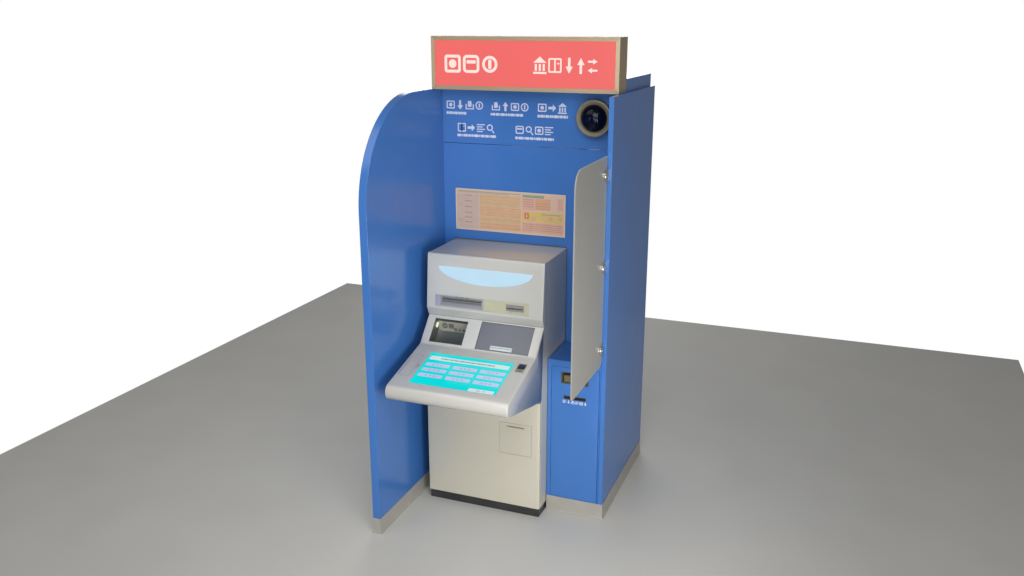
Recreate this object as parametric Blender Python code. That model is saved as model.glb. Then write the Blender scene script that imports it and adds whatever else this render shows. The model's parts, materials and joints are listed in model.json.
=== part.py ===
"""Self-service cash machine in a free-standing laminate booth.

The booth stands on the floor with its customer side facing -Y.  The origin is
on the floor, under the middle of the booth.  All sizes are in metres.
"""
import math

import bmesh
import bpy
from mathutils import Matrix, Vector

# ---- driving dimensions: booth -------------------------------------------
HALF_WIDTH = 0.5075          # booth centre line to the outer face of either side
FRONT_TIP = -0.6755          # foremost point, the console's nose
REAR = 0.6755                # outer face of the rear door
WALL_HEIGHT = 2.100
LEFT_THICKNESS = 0.040
RIGHT_THICKNESS = 0.024
LEFT_FRONT = -0.6605         # front edge of the deep left panel
LEFT_CORNER_RADIUS = 0.500
RIGHT_FRONT = -0.1365        # front edge of the shallow right wall
BOARD = 0.018                # laminate board used behind the machine
SURROUND_FACE = 0.1455       # customer face of the board round the machine
HEADER_SEAM = 1.824
HOOD_TOP = 2.161
HOOD_BOTTOM = 2.000
SIGN_FRONT = 0.0285
SIGN_BACK = 0.1645
SIGN_TOP = 2.3535
SIGN_BORDER = 0.0195
SKIRTING_HEIGHT = 0.0815
SKIRTING_SHEET = 0.0020
SKIRTING_FLARE = 0.0042

# ---- driving dimensions: bin cabinet -------------------------------------
BIN_LEFT = 0.2115
BIN_TOP = 0.827
DOOR_LEFT = 0.2305
DOOR_RIGHT = 0.4785
DOOR_BOTTOM = 0.083
DOOR_TOP = 0.794

# ---- driving dimensions: machine -----------------------------------------
MACHINE_LEFT = -0.4055
MACHINE_RIGHT = 0.2085
MACHINE_BACK = 0.460
MACHINE_TOP = 1.323
MACHINE_BOTTOM = 0.0465
SKIN = 0.004                 # moulded covers
SHEET = 0.003                # steel cabinet
LOWER_FRONT = -0.2405
FRONT_DOOR_DEPTH = 0.020
CASE_EDGE = 0.005            # rounding of the covers' side edges

# Profile corners of the customer side, as (y, z).
FASCIA_TOP = (-0.1885, MACHINE_TOP)
FASCIA_CHIN = (-0.2135, 1.0470)
CREASE = (-0.1940, 1.0045)
DESK_TOP = (-0.3030, 0.8855)
NOSE_TOP = (FRONT_TIP, 0.7924)
NOSE_BOTTOM = (FRONT_TIP, 0.7295)
UNDERSIDE_BACK = (-0.2200, 0.6275)
NOSE_RADIUS = 0.039
FASCIA_BACK = -0.150

# ---- clearances ----------------------------------------------------------
TOUCH = 0.0003               # between pieces that rest on each other
SEAM = 0.001                 # visible joint between neighbouring covers
REACH = 0.1                  # how far a cutter runs past the face it cuts

LEFT_INNER = -HALF_WIDTH + LEFT_THICKNESS
RIGHT_INNER = HALF_WIDTH - RIGHT_THICKNESS

# Colour, roughness and metallic value of each finish.
FINISHES = {
    "blue_laminate": ((0.07, 0.19, 0.50), 0.22, 0.0),
    "vinyl_skirting": ((0.36, 0.34, 0.29), 0.55, 0.0),
    "sign_metal": ((0.50, 0.46, 0.32), 0.38, 1.0),
    "sign_face": ((0.85, 0.13, 0.13), 0.35, 0.0),
    "warm_grey_case": ((0.55, 0.53, 0.48), 0.42, 0.0),
    "warm_grey_steel": ((0.55, 0.53, 0.48), 0.38, 0.0),
    "black_plinth": ((0.02, 0.02, 0.022), 0.50, 0.0),
    "beige_insert": ((0.46, 0.45, 0.32), 0.45, 0.0),
    "dark_grey_plastic": ((0.16, 0.17, 0.18), 0.40, 0.0),
    "satin_steel": ((0.52, 0.52, 0.50), 0.30, 1.0),
    "chrome": ((0.70, 0.70, 0.70), 0.08, 1.0),
    "bronze_ring": ((0.15, 0.13, 0.08), 0.35, 1.0),
    "black_glass": ((0.01, 0.012, 0.02), 0.04, 0.0),
    "screen_glass": ((0.02, 0.70, 0.72), 0.10, 0.0),
    "lamp_lens": ((0.55, 0.76, 0.92), 0.25, 0.0),
    "frosted_acrylic": ((0.24, 0.24, 0.23), 0.35, 0.0),
    "notice_print": ((0.80, 0.62, 0.50), 0.60, 0.0),
    "brown_plastic": ((0.09, 0.08, 0.05), 0.50, 0.0),
    "zinc_sheet": ((0.45, 0.46, 0.47), 0.45, 1.0),
    "module_housing": ((0.38, 0.39, 0.40), 0.50, 0.3),
    "safe_paint": ((0.12, 0.13, 0.14), 0.55, 0.2),
    "rubber_foot": ((0.03, 0.03, 0.03), 0.80, 0.0),
}


# ---- general helpers -----------------------------------------------------
def clear_scene():
    for item in list(bpy.data.objects):
        bpy.data.objects.remove(item, do_unlink=True)


def finish_material(slot):
    """One shared Principled material for each finish."""
    existing = bpy.data.materials.get(slot)
    if existing:
        return existing
    colour, roughness, metallic = FINISHES[slot]
    made = bpy.data.materials.new(slot)
    made.use_nodes = True
    shader = made.node_tree.nodes["Principled BSDF"]
    shader.inputs["Base Color"].default_value = (*colour, 1.0)
    shader.inputs["Roughness"].default_value = roughness
    shader.inputs["Metallic"].default_value = metallic
    return made


def add_object(name, bm, slot=None):
    """Turn a bmesh into an object; without a finish it is a cutter."""
    bmesh.ops.recalc_face_normals(bm, faces=bm.faces)
    mesh = bpy.data.meshes.new(name)
    bm.to_mesh(mesh)
    bm.free()
    made = bpy.data.objects.new(name, mesh)
    bpy.context.scene.collection.objects.link(made)
    if slot:
        mesh.materials.append(finish_material(slot))
    else:
        made.hide_render = True
        made.display_type = "WIRE"
    return made


def cut(target, *cutters):
    for number, cutter in enumerate(cutters):
        step = target.modifiers.new(f"cut {number}", "BOOLEAN")
        step.operation = "DIFFERENCE"
        step.solver = "EXACT"
        step.object = cutter
    return target


def join(target, *additions):
    for number, addition in enumerate(additions):
        step = target.modifiers.new(f"join {number}", "BOOLEAN")
        step.operation = "UNION"
        step.solver = "EXACT"
        step.object = addition
    return target


def soften(target, width, segments=2, angle=50.0):
    """Round the sharp edges of a piece."""
    step = target.modifiers.new("edges", "BEVEL")
    step.width = width
    step.segments = segments
    step.limit_method = "ANGLE"
    step.angle_limit = math.radians(angle)
    return target


def smooth(target, angle=35.0):
    target.data.shade_smooth()
    target.data.set_sharp_from_angle(angle=math.radians(angle))
    return target


def hinge_origin(target, point):
    """Put a moving piece's origin on its axis without moving the piece."""
    pivot = Vector(point)
    offset = target.matrix_basis.inverted() @ pivot
    target.data.transform(Matrix.Translation(-offset))
    target.location = pivot
    return target


def box(name, low, high, slot=None):
    bm = bmesh.new()
    bmesh.ops.create_cube(bm, size=1.0)
    size = Vector(high) - Vector(low)
    middle = (Vector(high) + Vector(low)) / 2
    bmesh.ops.scale(bm, vec=size, verts=bm.verts)
    bmesh.ops.translate(bm, vec=middle, verts=bm.verts)
    return add_object(name, bm, slot)


AXIS_ORDER = {"X": (2, 0, 1), "Y": (0, 2, 1), "Z": (0, 1, 2)}


def prism_mesh(outline, axis, start, end):
    """Extrude a flat outline along an axis.  Its points are (y, z), (x, z) or (x, y)."""
    order = AXIS_ORDER[axis]
    bm = bmesh.new()
    ring = []
    for point in outline:
        flat = (point[0], point[1], start)
        ring.append(bm.verts.new([flat[i] for i in order]))
    face = bm.faces.new(ring)
    moved = bmesh.ops.extrude_face_region(bm, geom=[face])["geom"]
    shift = Vector((0, 0, 0))
    shift["XYZ".index(axis)] = end - start
    tips = [item for item in moved if isinstance(item, bmesh.types.BMVert)]
    bmesh.ops.translate(bm, vec=shift, verts=tips)
    return bm


def prism(name, outline, axis, start, end, slot=None):
    return add_object(name, prism_mesh(outline, axis, start, end), slot)


def cylinder(name, centre, radius, axis, start, end, slot=None, steps=24):
    """A round bar along an axis; centre is given in the two other coordinates."""
    outline = []
    for step in range(steps):
        turn = 2 * math.pi * (step + 0.5) / steps
        outline.append((centre[0] + radius * math.cos(turn), centre[1] + radius * math.sin(turn)))
    return prism(name, outline, axis, start, end, slot)


def filleted(corners, steps=6):
    """Outline through (a, b, radius) corners, each rounded to its radius."""
    outline = []
    count = len(corners)
    for index, (a, b, radius) in enumerate(corners):
        here = Vector((a, b))
        if radius <= 0:
            outline.append((a, b))
            continue
        before = Vector(corners[index - 1][:2]) - here
        after = Vector(corners[(index + 1) % count][:2]) - here
        half = before.angle(after) / 2
        reach = radius / math.tan(half)
        centre = here + (before.normalized() + after.normalized()).normalized() * radius / math.sin(half)
        first = here + before.normalized() * reach - centre
        last = here + after.normalized() * reach - centre
        sweep = first.angle_signed(last)
        for step in range(steps + 1):
            turn = -sweep * step / steps
            spun = Matrix.Rotation(turn, 2) @ first
            outline.append(tuple(centre + spun))
    return outline


def inset(outline, distance, open_side):
    """Move every edge inwards; the closing edge moves outwards by open_side instead."""
    count = len(outline)
    area = sum(outline[i][0] * outline[(i + 1) % count][1] - outline[(i + 1) % count][0] * outline[i][1]
               for i in range(count))
    sign = 1.0 if area > 0 else -1.0
    lines = []
    for index in range(count):
        start = Vector(outline[index])
        along = (Vector(outline[(index + 1) % count]) - start).normalized()
        inward = Vector((-along.y, along.x)) * sign
        amount = -open_side if index == count - 1 else distance
        lines.append((start + inward * amount, along))
    moved = []
    for index in range(count):
        point_a, dir_a = lines[index - 1]
        point_b, dir_b = lines[index]
        cross = dir_a.x * dir_b.y - dir_a.y * dir_b.x
        if abs(cross) < 1e-6:
            moved.append(tuple(point_b))
            continue
        gap = point_b - point_a
        travel = (gap.x * dir_b.y - gap.y * dir_b.x) / cross
        moved.append(tuple(point_a + dir_a * travel))
    return moved


def rounded_sides(bm, keep, width=CASE_EDGE, segments=3):
    """Round the perimeter edges of both side faces wherever keep(edge middle) is true."""
    chosen = []
    for edge in bm.edges:
        first, second = edge.verts
        middle = (first.co + second.co) / 2
        on_side = abs(first.co.x - second.co.x) < 1e-6
        if on_side and keep(middle):
            chosen.append(edge)
    bmesh.ops.bevel(bm, geom=chosen, offset=width, segments=segments, profile=0.5,
                    affect="EDGES", clamp_overlap=True)
    return bm


def turned(name, profile, centre, slot=None, steps=32):
    """A closed ring or cup turned about an axis along Y; profile points are (radius, y)."""
    bm = bmesh.new()
    rings = []
    for radius, depth in profile:
        if radius <= 0:
            rings.append([bm.verts.new((centre[0], depth, centre[1]))])
            continue
        ring = []
        for step in range(steps):
            turn = 2 * math.pi * step / steps
            ring.append(bm.verts.new((centre[0] + radius * math.cos(turn), depth,
                                      centre[1] + radius * math.sin(turn))))
        rings.append(ring)
    closed = profile[0][0] > 0
    pairs = list(zip(rings, rings[1:]))
    if closed:
        pairs.append((rings[-1], rings[0]))
    for inner, outer in pairs:
        for step in range(steps):
            following = (step + 1) % steps
            corners = [inner[step % len(inner)], inner[following % len(inner)],
                       outer[following % len(outer)], outer[step % len(outer)]]
            unique = list(dict.fromkeys(corners))
            if len(unique) > 2:
                bm.faces.new(unique)
    return smooth(add_object(name, bm, slot))


class Face:
    """One sloping face of the machine, measured from its top edge.

    x runs from the machine's left side, s runs down the face and h runs out of it.
    """

    def __init__(self, top, bottom):
        self.top = Vector((0, *top))
        up = Vector((0, top[0] - bottom[0], top[1] - bottom[1]))
        self.up = up.normalized()
        self.out = Vector((1, 0, 0)).cross(self.up)
        self.tilt = Matrix(((1, 0, 0), (0, self.up.y, self.out.y), (0, self.up.z, self.out.z)))

    def point(self, x, s, h=0.0):
        return Vector((MACHINE_LEFT + x, 0, 0)) + self.top - self.up * s + self.out * h

    def place(self, made):
        """Stand a piece, modelled flat with x, -s and h as its axes, on this face."""
        made.matrix_world = Matrix.Translation(self.point(0, 0)) @ self.tilt.to_4x4()
        return made

    def box(self, name, x_range, s_range, h_range, slot=None):
        low = (x_range[0], -s_range[1], h_range[0])
        high = (x_range[1], -s_range[0], h_range[1])
        return self.place(box(name, low, high, slot))

    def plate(self, name, outline, h_range, slot=None):
        """A plate whose outline is given in (x, s)."""
        flat = [(x, -s) for x, s in outline]
        return self.place(prism(name, flat, "Z", h_range[0], h_range[1], slot))


UPPER = Face(FASCIA_TOP, FASCIA_CHIN)
MIDDLE = Face(CREASE, DESK_TOP)
DESK = Face(DESK_TOP, NOSE_TOP)


def rounded_rectangle(x_range, s_range, radius, steps=4):
    corners = [(x_range[0], s_range[0], radius), (x_range[1], s_range[0], radius),
               (x_range[1], s_range[1], radius), (x_range[0], s_range[1], radius)]
    return filleted(corners, steps)


def grown(span, amount):
    return (span[0] - amount, span[1] + amount)


# ---- booth ---------------------------------------------------------------
def booth_panels():
    edge = 0.0015
    left = filleted([(LEFT_FRONT, 0, 0), (REAR, 0, 0), (REAR, WALL_HEIGHT, 0),
                     (LEFT_FRONT, WALL_HEIGHT, LEFT_CORNER_RADIUS)], steps=24)
    soften(prism("left_side_panel", left, "X", -HALF_WIDTH, LEFT_INNER, "blue_laminate"), edge, 1)
    right = box("right_side_panel", (RIGHT_INNER, RIGHT_FRONT, 0), (HALF_WIDTH, REAR, WALL_HEIGHT),
                "blue_laminate")
    soften(right, edge, 1)
    gap = 0.003
    left_edge = LEFT_INNER + TOUCH
    right_edge = RIGHT_INNER - TOUCH
    surround = [(left_edge, 0), (MACHINE_LEFT - gap, 0), (MACHINE_LEFT - gap, MACHINE_TOP + gap),
                (MACHINE_RIGHT + gap, MACHINE_TOP + gap), (MACHINE_RIGHT + gap, 0), (right_edge, 0),
                (right_edge, HEADER_SEAM - SEAM), (left_edge, HEADER_SEAM - SEAM)]
    prism("surround_panel", surround, "Y", SURROUND_FACE, SURROUND_FACE + BOARD, "blue_laminate")
    header = box("header_panel", (left_edge, SURROUND_FACE, HEADER_SEAM + SEAM),
                 (right_edge, SURROUND_FACE + BOARD, WALL_HEIGHT - TOUCH), "blue_laminate")
    cable_hole = cylinder("cut_header_cable", (CAMERA_X, CAMERA_Z), 0.020, "Y",
                          SURROUND_FACE - REACH, SURROUND_FACE + REACH, steps=16)
    cut(header, cable_hole)


def service_hood():
    low = Vector((LEFT_INNER + TOUCH, SIGN_BACK + TOUCH, HOOD_BOTTOM))
    high = Vector((RIGHT_INNER - TOUCH, REAR, HOOD_TOP))
    hood = box("service_hood", low, high, "blue_laminate")
    wall = Vector((BOARD, BOARD, 0))
    inside = box("cut_hood", low + wall - Vector((0, 0, REACH)), high - wall - Vector((0, 0, BOARD)))
    cut(hood, inside)


def rear_door():
    """A full-height service door, hinged on the right and pivoting inside its own edge."""
    radius = BOARD / 2
    gap = 0.003
    left_edge = LEFT_INNER + gap
    right_edge = RIGHT_INNER - gap
    pivot = (right_edge - radius, REAR - radius)
    bottom = 0.012
    outline = [(left_edge, REAR - BOARD), (pivot[0], REAR - BOARD)]
    for step in range(1, 8):
        turn = -math.pi / 2 + math.pi * step / 8
        outline.append((pivot[0] + radius * math.cos(turn), pivot[1] + radius * math.sin(turn)))
    outline += [(pivot[0], REAR), (left_edge, REAR)]
    door = prism("rear_door", outline, "Z", bottom, HOOD_BOTTOM - gap, "blue_laminate")
    lock_x = left_edge + 0.040
    lock_z = 1.000
    bore_radius = 0.0150
    bore = cylinder("cut_rear_lock", (lock_x, lock_z), bore_radius, "Y", REAR - REACH, REAR + REACH)
    hinge_origin(cut(door, bore), (*pivot, bottom))
    barrel = cylinder("rear_door_lock", (lock_x, lock_z), bore_radius - SEAM / 2, "Y",
                      REAR - BOARD - 0.011, REAR - SEAM, "satin_steel", 20)
    cam = box("add_rear_cam", (lock_x - 0.036, REAR - BOARD - 0.009, lock_z - 0.009),
              (lock_x + 0.010, REAR - BOARD - 0.004, lock_z + 0.009))
    key_way = box("cut_rear_key", (lock_x - 0.0015, REAR - 0.005, lock_z - 0.007),
                  (lock_x + 0.0015, REAR + REACH, lock_z + 0.007))
    cut(join(barrel, cam), key_way)
    hinge_origin(barrel, (lock_x, REAR, lock_z))


def skirting(name, x_range, y_range, flares, core):
    """Coved vinyl skirting: thin sheet above, flaring out to its toe at the floor.

    flares gives 1 or 0 for the left, right and front sides of the plan rectangle.
    """
    toe_height = 0.024
    levels = 5
    bm = bmesh.new()
    rings = []
    for level in range(levels + 1):
        height = toe_height * level / levels
        if level == levels:
            height = SKIRTING_HEIGHT
        rise = min(1.0, toe_height * level / (levels - 1) / toe_height)
        out = SKIRTING_SHEET + SKIRTING_FLARE * (1 - rise) ** 2
        left = x_range[0] - out * flares[0]
        right = x_range[1] + out * flares[1]
        front = y_range[0] - out * flares[2]
        plan = [(left, front), (right, front), (right, y_range[1]), (left, y_range[1])]
        rings.append([bm.verts.new((x, y, height)) for x, y in plan])
    bm.faces.new(rings[0])
    bm.faces.new(rings[-1])
    for lower, upper in zip(rings, rings[1:]):
        for corner in range(4):
            following = (corner + 1) % 4
            bm.faces.new((lower[corner], lower[following], upper[following], upper[corner]))
    return cut(add_object(name, bm, "vinyl_skirting"), *core)


def skirtings():
    left_core = box("cut_left_skirting", (-HALF_WIDTH - TOUCH, LEFT_FRONT - TOUCH, -REACH),
                    (LEFT_INNER + TOUCH, REAR + REACH, REACH))
    left_rear = box("cut_left_skirting_rear", (LEFT_INNER - TOUCH, SURROUND_FACE - TOUCH, -REACH),
                    (LEFT_INNER + REACH, REAR + REACH, REACH))
    skirting("left_skirting", (-HALF_WIDTH, LEFT_INNER), (LEFT_FRONT, REAR), (1, 1, 1),
             (left_core, left_rear))
    right_core = box("cut_right_skirting", (BIN_LEFT - REACH, RIGHT_FRONT - TOUCH, -REACH),
                     (HALF_WIDTH + TOUCH, REAR + REACH, REACH))
    skirting("right_skirting", (BIN_LEFT, HALF_WIDTH), (RIGHT_FRONT, REAR), (0, 1, 1), (right_core,))


def illuminated_sign():
    wall = 0.004
    low = Vector((LEFT_INNER + TOUCH, SIGN_FRONT, WALL_HEIGHT + TOUCH))
    high = Vector((RIGHT_INNER - TOUCH, SIGN_BACK, SIGN_TOP))
    frame = box("sign_frame", low, high, "sign_metal")
    lip = Vector((SIGN_BORDER, 0, SIGN_BORDER))
    window = box("cut_sign_window", low + lip - Vector((0, REACH, 0)), high - lip)
    thin = Vector((wall, 0, wall))
    hollow = box("cut_sign_hollow", low + thin + Vector((0, wall, 0)),
                 high - thin + Vector((0, REACH, 0)))
    cut(frame, window, hollow)
    fit = Vector((TOUCH, 0, TOUCH))
    face_low = low + thin + fit + Vector((0, wall + TOUCH, 0))
    face_high = high - thin - fit
    face_high.y = face_low.y + 0.004
    box("sign_face", face_low, face_high, "sign_face")
    back_low = low + thin + fit
    back_low.y = SIGN_BACK - 0.005
    box("sign_back", back_low, high - thin - fit, "zinc_sheet")
    lamp_half_height = 0.014
    lamp_z = (low.z + high.z) / 2
    box("sign_lamp_bar", (low.x + 0.030, SIGN_BACK - 0.030, lamp_z - lamp_half_height),
        (high.x - 0.030, back_low.y - TOUCH, lamp_z + lamp_half_height), "lamp_lens")


def notice_board():
    board = box("notice_board", (-0.4005, SURROUND_FACE - 0.0045, 1.375),
                (0.2000, SURROUND_FACE - TOUCH, 1.592), "notice_print")
    soften(board, 0.001, 1)


CAMERA_X = 0.3485
CAMERA_Z = 1.979
CAMERA_REACH = 0.060         # housing in front of the header panel
CAMERA_RADIUS = 0.0885
DOME_RADIUS = 0.0635


def security_camera():
    back = SURROUND_FACE - TOUCH
    front = SURROUND_FACE - CAMERA_REACH
    cup = [(0.016, back), (CAMERA_RADIUS - 0.003, back), (CAMERA_RADIUS - 0.003, front + 0.016),
           (CAMERA_RADIUS, front + 0.013), (CAMERA_RADIUS, front + 0.004),
           (CAMERA_RADIUS - 0.004, front), (CAMERA_RADIUS - 0.009, front),
           (DOME_RADIUS + 0.0006, front + 0.007), (DOME_RADIUS + 0.0006, front + 0.018),
           (DOME_RADIUS - 0.004, front + 0.018), (DOME_RADIUS - 0.004, back - 0.005),
           (0.016, back - 0.005)]
    turned("camera_housing", cup, (CAMERA_X, CAMERA_Z), "bronze_ring")
    rim = front + 0.0175
    bulge = 0.046
    shell = 0.0025
    steps = 6
    outer = []
    inner = []
    for step in range(steps + 1):
        turn = math.pi / 2 * step / steps
        outer.append((DOME_RADIUS * math.sin(turn), rim - 0.003 - bulge * math.cos(turn)))
        inner.append(((DOME_RADIUS - shell) * math.sin(turn), rim - 0.003 - (bulge - shell) * math.cos(turn)))
    profile = outer + [(DOME_RADIUS, rim), (DOME_RADIUS - shell, rim)] + inner[::-1]
    turned("camera_dome", profile, (CAMERA_X, CAMERA_Z), "black_glass")
    base = cylinder("camera_module", (CAMERA_X, CAMERA_Z), 0.034, "Y", back - 0.026, back - 0.0055,
                    "dark_grey_plastic")
    eye = cylinder("add_camera_eye", (CAMERA_X, CAMERA_Z), 0.021, "Y", -0.016, 0.046, steps=20)
    eye.data.transform(Matrix.Translation((-CAMERA_X, 0, -CAMERA_Z)))
    eye.location = (CAMERA_X, back - 0.056, CAMERA_Z - 0.002)
    eye.rotation_euler.x = math.radians(14)
    hinge_origin(join(base, eye), (CAMERA_X, back, CAMERA_Z))


SCREEN_PLANE = (0.4795, 0.4855)
SCREEN_FRONT = -0.6185
SCREEN_BACK = RIGHT_FRONT - 0.0040
SCREEN_Z = (0.833, 1.840)
CLAMP_HEIGHTS = (0.917, 1.323, 1.755)


def privacy_screen():
    outline = filleted([(SCREEN_FRONT, SCREEN_Z[0], 0.018), (SCREEN_BACK, SCREEN_Z[0], 0.020),
                        (SCREEN_BACK, SCREEN_Z[1], 0.003), (SCREEN_FRONT, SCREEN_Z[1], 0.080)])
    prism("privacy_screen", outline, "X", *SCREEN_PLANE, "frosted_acrylic")
    radius = 0.0285
    half_width = 0.0135
    plane = sum(SCREEN_PLANE) / 2
    centre_y = RIGHT_FRONT - TOUCH - radius
    for number, height in enumerate(CLAMP_HEIGHTS, start=1):
        shape = [(RIGHT_FRONT - TOUCH, height - radius), (RIGHT_FRONT - TOUCH, height + radius)]
        for step in range(1, 16):
            turn = math.pi / 2 + math.pi * step / 16
            shape.append((centre_y + radius * math.cos(turn), height + radius * math.sin(turn)))
        bm = prism_mesh(shape, "X", plane - half_width, plane + half_width)
        rounded_sides(bm, lambda middle: middle.y < RIGHT_FRONT - 2 * TOUCH, 0.003, 2)
        clamp = smooth(add_object(f"screen_clamp_{number}", bm, "chrome"))
        slot = box(f"cut_clamp_{number}", (SCREEN_PLANE[0] - TOUCH, centre_y - REACH, height - REACH),
                   (SCREEN_PLANE[1] + TOUCH, SCREEN_BACK + TOUCH, height + REACH))
        cut(clamp, slot)


# ---- bin cabinet ---------------------------------------------------------
def bin_cabinet():
    right = RIGHT_INNER - TOUCH
    back = SURROUND_FACE - TOUCH
    carcass = box("bin_cabinet", (BIN_LEFT, RIGHT_FRONT, 0), (right, back, BIN_TOP), "blue_laminate")
    inside = box("cut_bin", (DOOR_LEFT, RIGHT_FRONT - REACH, DOOR_BOTTOM),
                 (DOOR_RIGHT, back - BOARD, DOOR_TOP))
    radius = BOARD / 2
    gap = 0.0015
    pivot = (DOOR_RIGHT - gap - radius, RIGHT_FRONT + radius)
    pin_radius = 0.004
    pin_reach = 0.007
    sockets = cylinder("cut_bin_pivots", pivot, pin_radius + 0.0005, "Z",
                       DOOR_BOTTOM - pin_reach - gap, DOOR_TOP + pin_reach + gap, steps=12)
    cut(carcass, inside, sockets)
    outline = [(DOOR_LEFT + gap, RIGHT_FRONT), (pivot[0], RIGHT_FRONT)]
    for step in range(1, 8):
        turn = -math.pi / 2 + math.pi * step / 8
        outline.append((pivot[0] + radius * math.cos(turn), pivot[1] + radius * math.sin(turn)))
    outline += [(pivot[0], RIGHT_FRONT + BOARD), (DOOR_LEFT + gap, RIGHT_FRONT + BOARD)]
    door = prism("bin_door", outline, "Z", DOOR_BOTTOM + gap, DOOR_TOP - gap, "blue_laminate")
    pins = cylinder("add_bin_pins", pivot, pin_radius, "Z", DOOR_BOTTOM - pin_reach,
                    DOOR_TOP + pin_reach, steps=12)
    window_x = (0.2840, 0.4185)
    window_z = (0.711, 0.768)
    window = box("cut_bin_window", (window_x[0], RIGHT_FRONT - REACH, window_z[0]),
                 (window_x[1], RIGHT_FRONT + REACH, window_z[1]))
    slit = box("cut_bin_slit", (0.2985, RIGHT_FRONT - REACH, 0.630),
               (0.4075, RIGHT_FRONT + REACH, 0.643))
    cut(join(door, pins), window, slit)
    hinge_origin(door, (*pivot, DOOR_BOTTOM))
    wall = 0.002
    depth = 0.060
    low = Vector((window_x[0] + TOUCH, RIGHT_FRONT + TOUCH, window_z[0] + TOUCH))
    high = Vector((window_x[1] - TOUCH, RIGHT_FRONT + depth, window_z[1] - TOUCH))
    pocket = box("envelope_pocket", low, high, "brown_plastic")
    lining = Vector((wall, 0, wall))
    hollow = box("cut_envelope_pocket", low + lining - Vector((0, REACH, 0)),
                 high - lining - Vector((0, wall, 0)))
    cut(pocket, hollow)
    pail_low = Vector((0.245, -0.100, DOOR_BOTTOM + TOUCH))
    pail_high = Vector((0.465, 0.115, 0.560))
    pail = box("waste_pail", pail_low, pail_high, "dark_grey_plastic")
    pail_wall = Vector((0.0025, 0.0025, 0.0025))
    inner_high = pail_high - pail_wall
    inner_high.z += REACH
    cut(pail, box("cut_pail", pail_low + pail_wall, inner_high))


# ---- machine housing -----------------------------------------------------
def machine_cabinet():
    """Steel tube, open to the front and the back, that carries every cover."""
    step_y = FASCIA_BACK + SEAM
    outline = [(LOWER_FRONT + FRONT_DOOR_DEPTH + SEAM, MACHINE_BOTTOM),
               (UNDERSIDE_BACK[0] + SEAM, UNDERSIDE_BACK[1]), (CREASE[0] + SEAM, CREASE[1]),
               (step_y, CREASE[1]), (step_y, MACHINE_TOP), (MACHINE_BACK, MACHINE_TOP),
               (MACHINE_BACK, MACHINE_BOTTOM)]
    bm = prism_mesh(outline, "X", MACHINE_LEFT, MACHINE_RIGHT)
    rounded_sides(bm, lambda middle: middle.z > MACHINE_TOP - SEAM)
    cabinet = add_object("machine_cabinet", bm, "warm_grey_steel")
    bore = box("cut_cabinet", (MACHINE_LEFT + SHEET, -1, MACHINE_BOTTOM + SHEET),
               (MACHINE_RIGHT - SHEET, 1, MACHINE_TOP - SHEET))
    cut(cabinet, bore)
    cover = box("rear_cover", (MACHINE_LEFT, MACHINE_BACK + TOUCH, MACHINE_BOTTOM),
                (MACHINE_RIGHT, MACHINE_BACK + 0.006, MACHINE_TOP), "warm_grey_steel")
    vents = []
    for row in range(5):
        height = 1.05 + 0.03 * row
        vents.append(box(f"cut_vent_{row}", (-0.25, MACHINE_BACK - REACH, height),
                         (0.05, MACHINE_BACK + REACH, height + 0.008)))
    cut(cover, *vents)
    inset_x = 0.004
    plinth_front = LOWER_FRONT + 0.008
    plinth = box("plinth", (MACHINE_LEFT + inset_x, plinth_front, 0),
                 (MACHINE_RIGHT - inset_x, MACHINE_BACK, MACHINE_BOTTOM - TOUCH), "black_plinth")
    ring = 0.003
    cut(plinth, box("cut_plinth", (MACHINE_LEFT + inset_x + ring, plinth_front + ring, -REACH),
                    (MACHINE_RIGHT - inset_x - ring, MACHINE_BACK - ring, REACH)))
    stand_in = 0.060
    corners = [(MACHINE_LEFT + stand_in, plinth_front + stand_in),
               (MACHINE_RIGHT - stand_in, plinth_front + stand_in),
               (MACHINE_LEFT + stand_in, MACHINE_BACK - stand_in),
               (MACHINE_RIGHT - stand_in, MACHINE_BACK - stand_in)]
    for number, corner in enumerate(corners, start=1):
        foot = cylinder(f"levelling_foot_{number}", corner, 0.024, "Z", 0, 0.014, "rubber_foot", 16)
        stem = cylinder(f"add_foot_stem_{number}", corner, 0.008, "Z", 0.007,
                        MACHINE_BOTTOM - TOUCH, steps=16)
        join(foot, stem)


FLAP_X = (MACHINE_LEFT + 0.399, MACHINE_LEFT + 0.570)
FLAP_Z = (0.330, 0.500)


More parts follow.
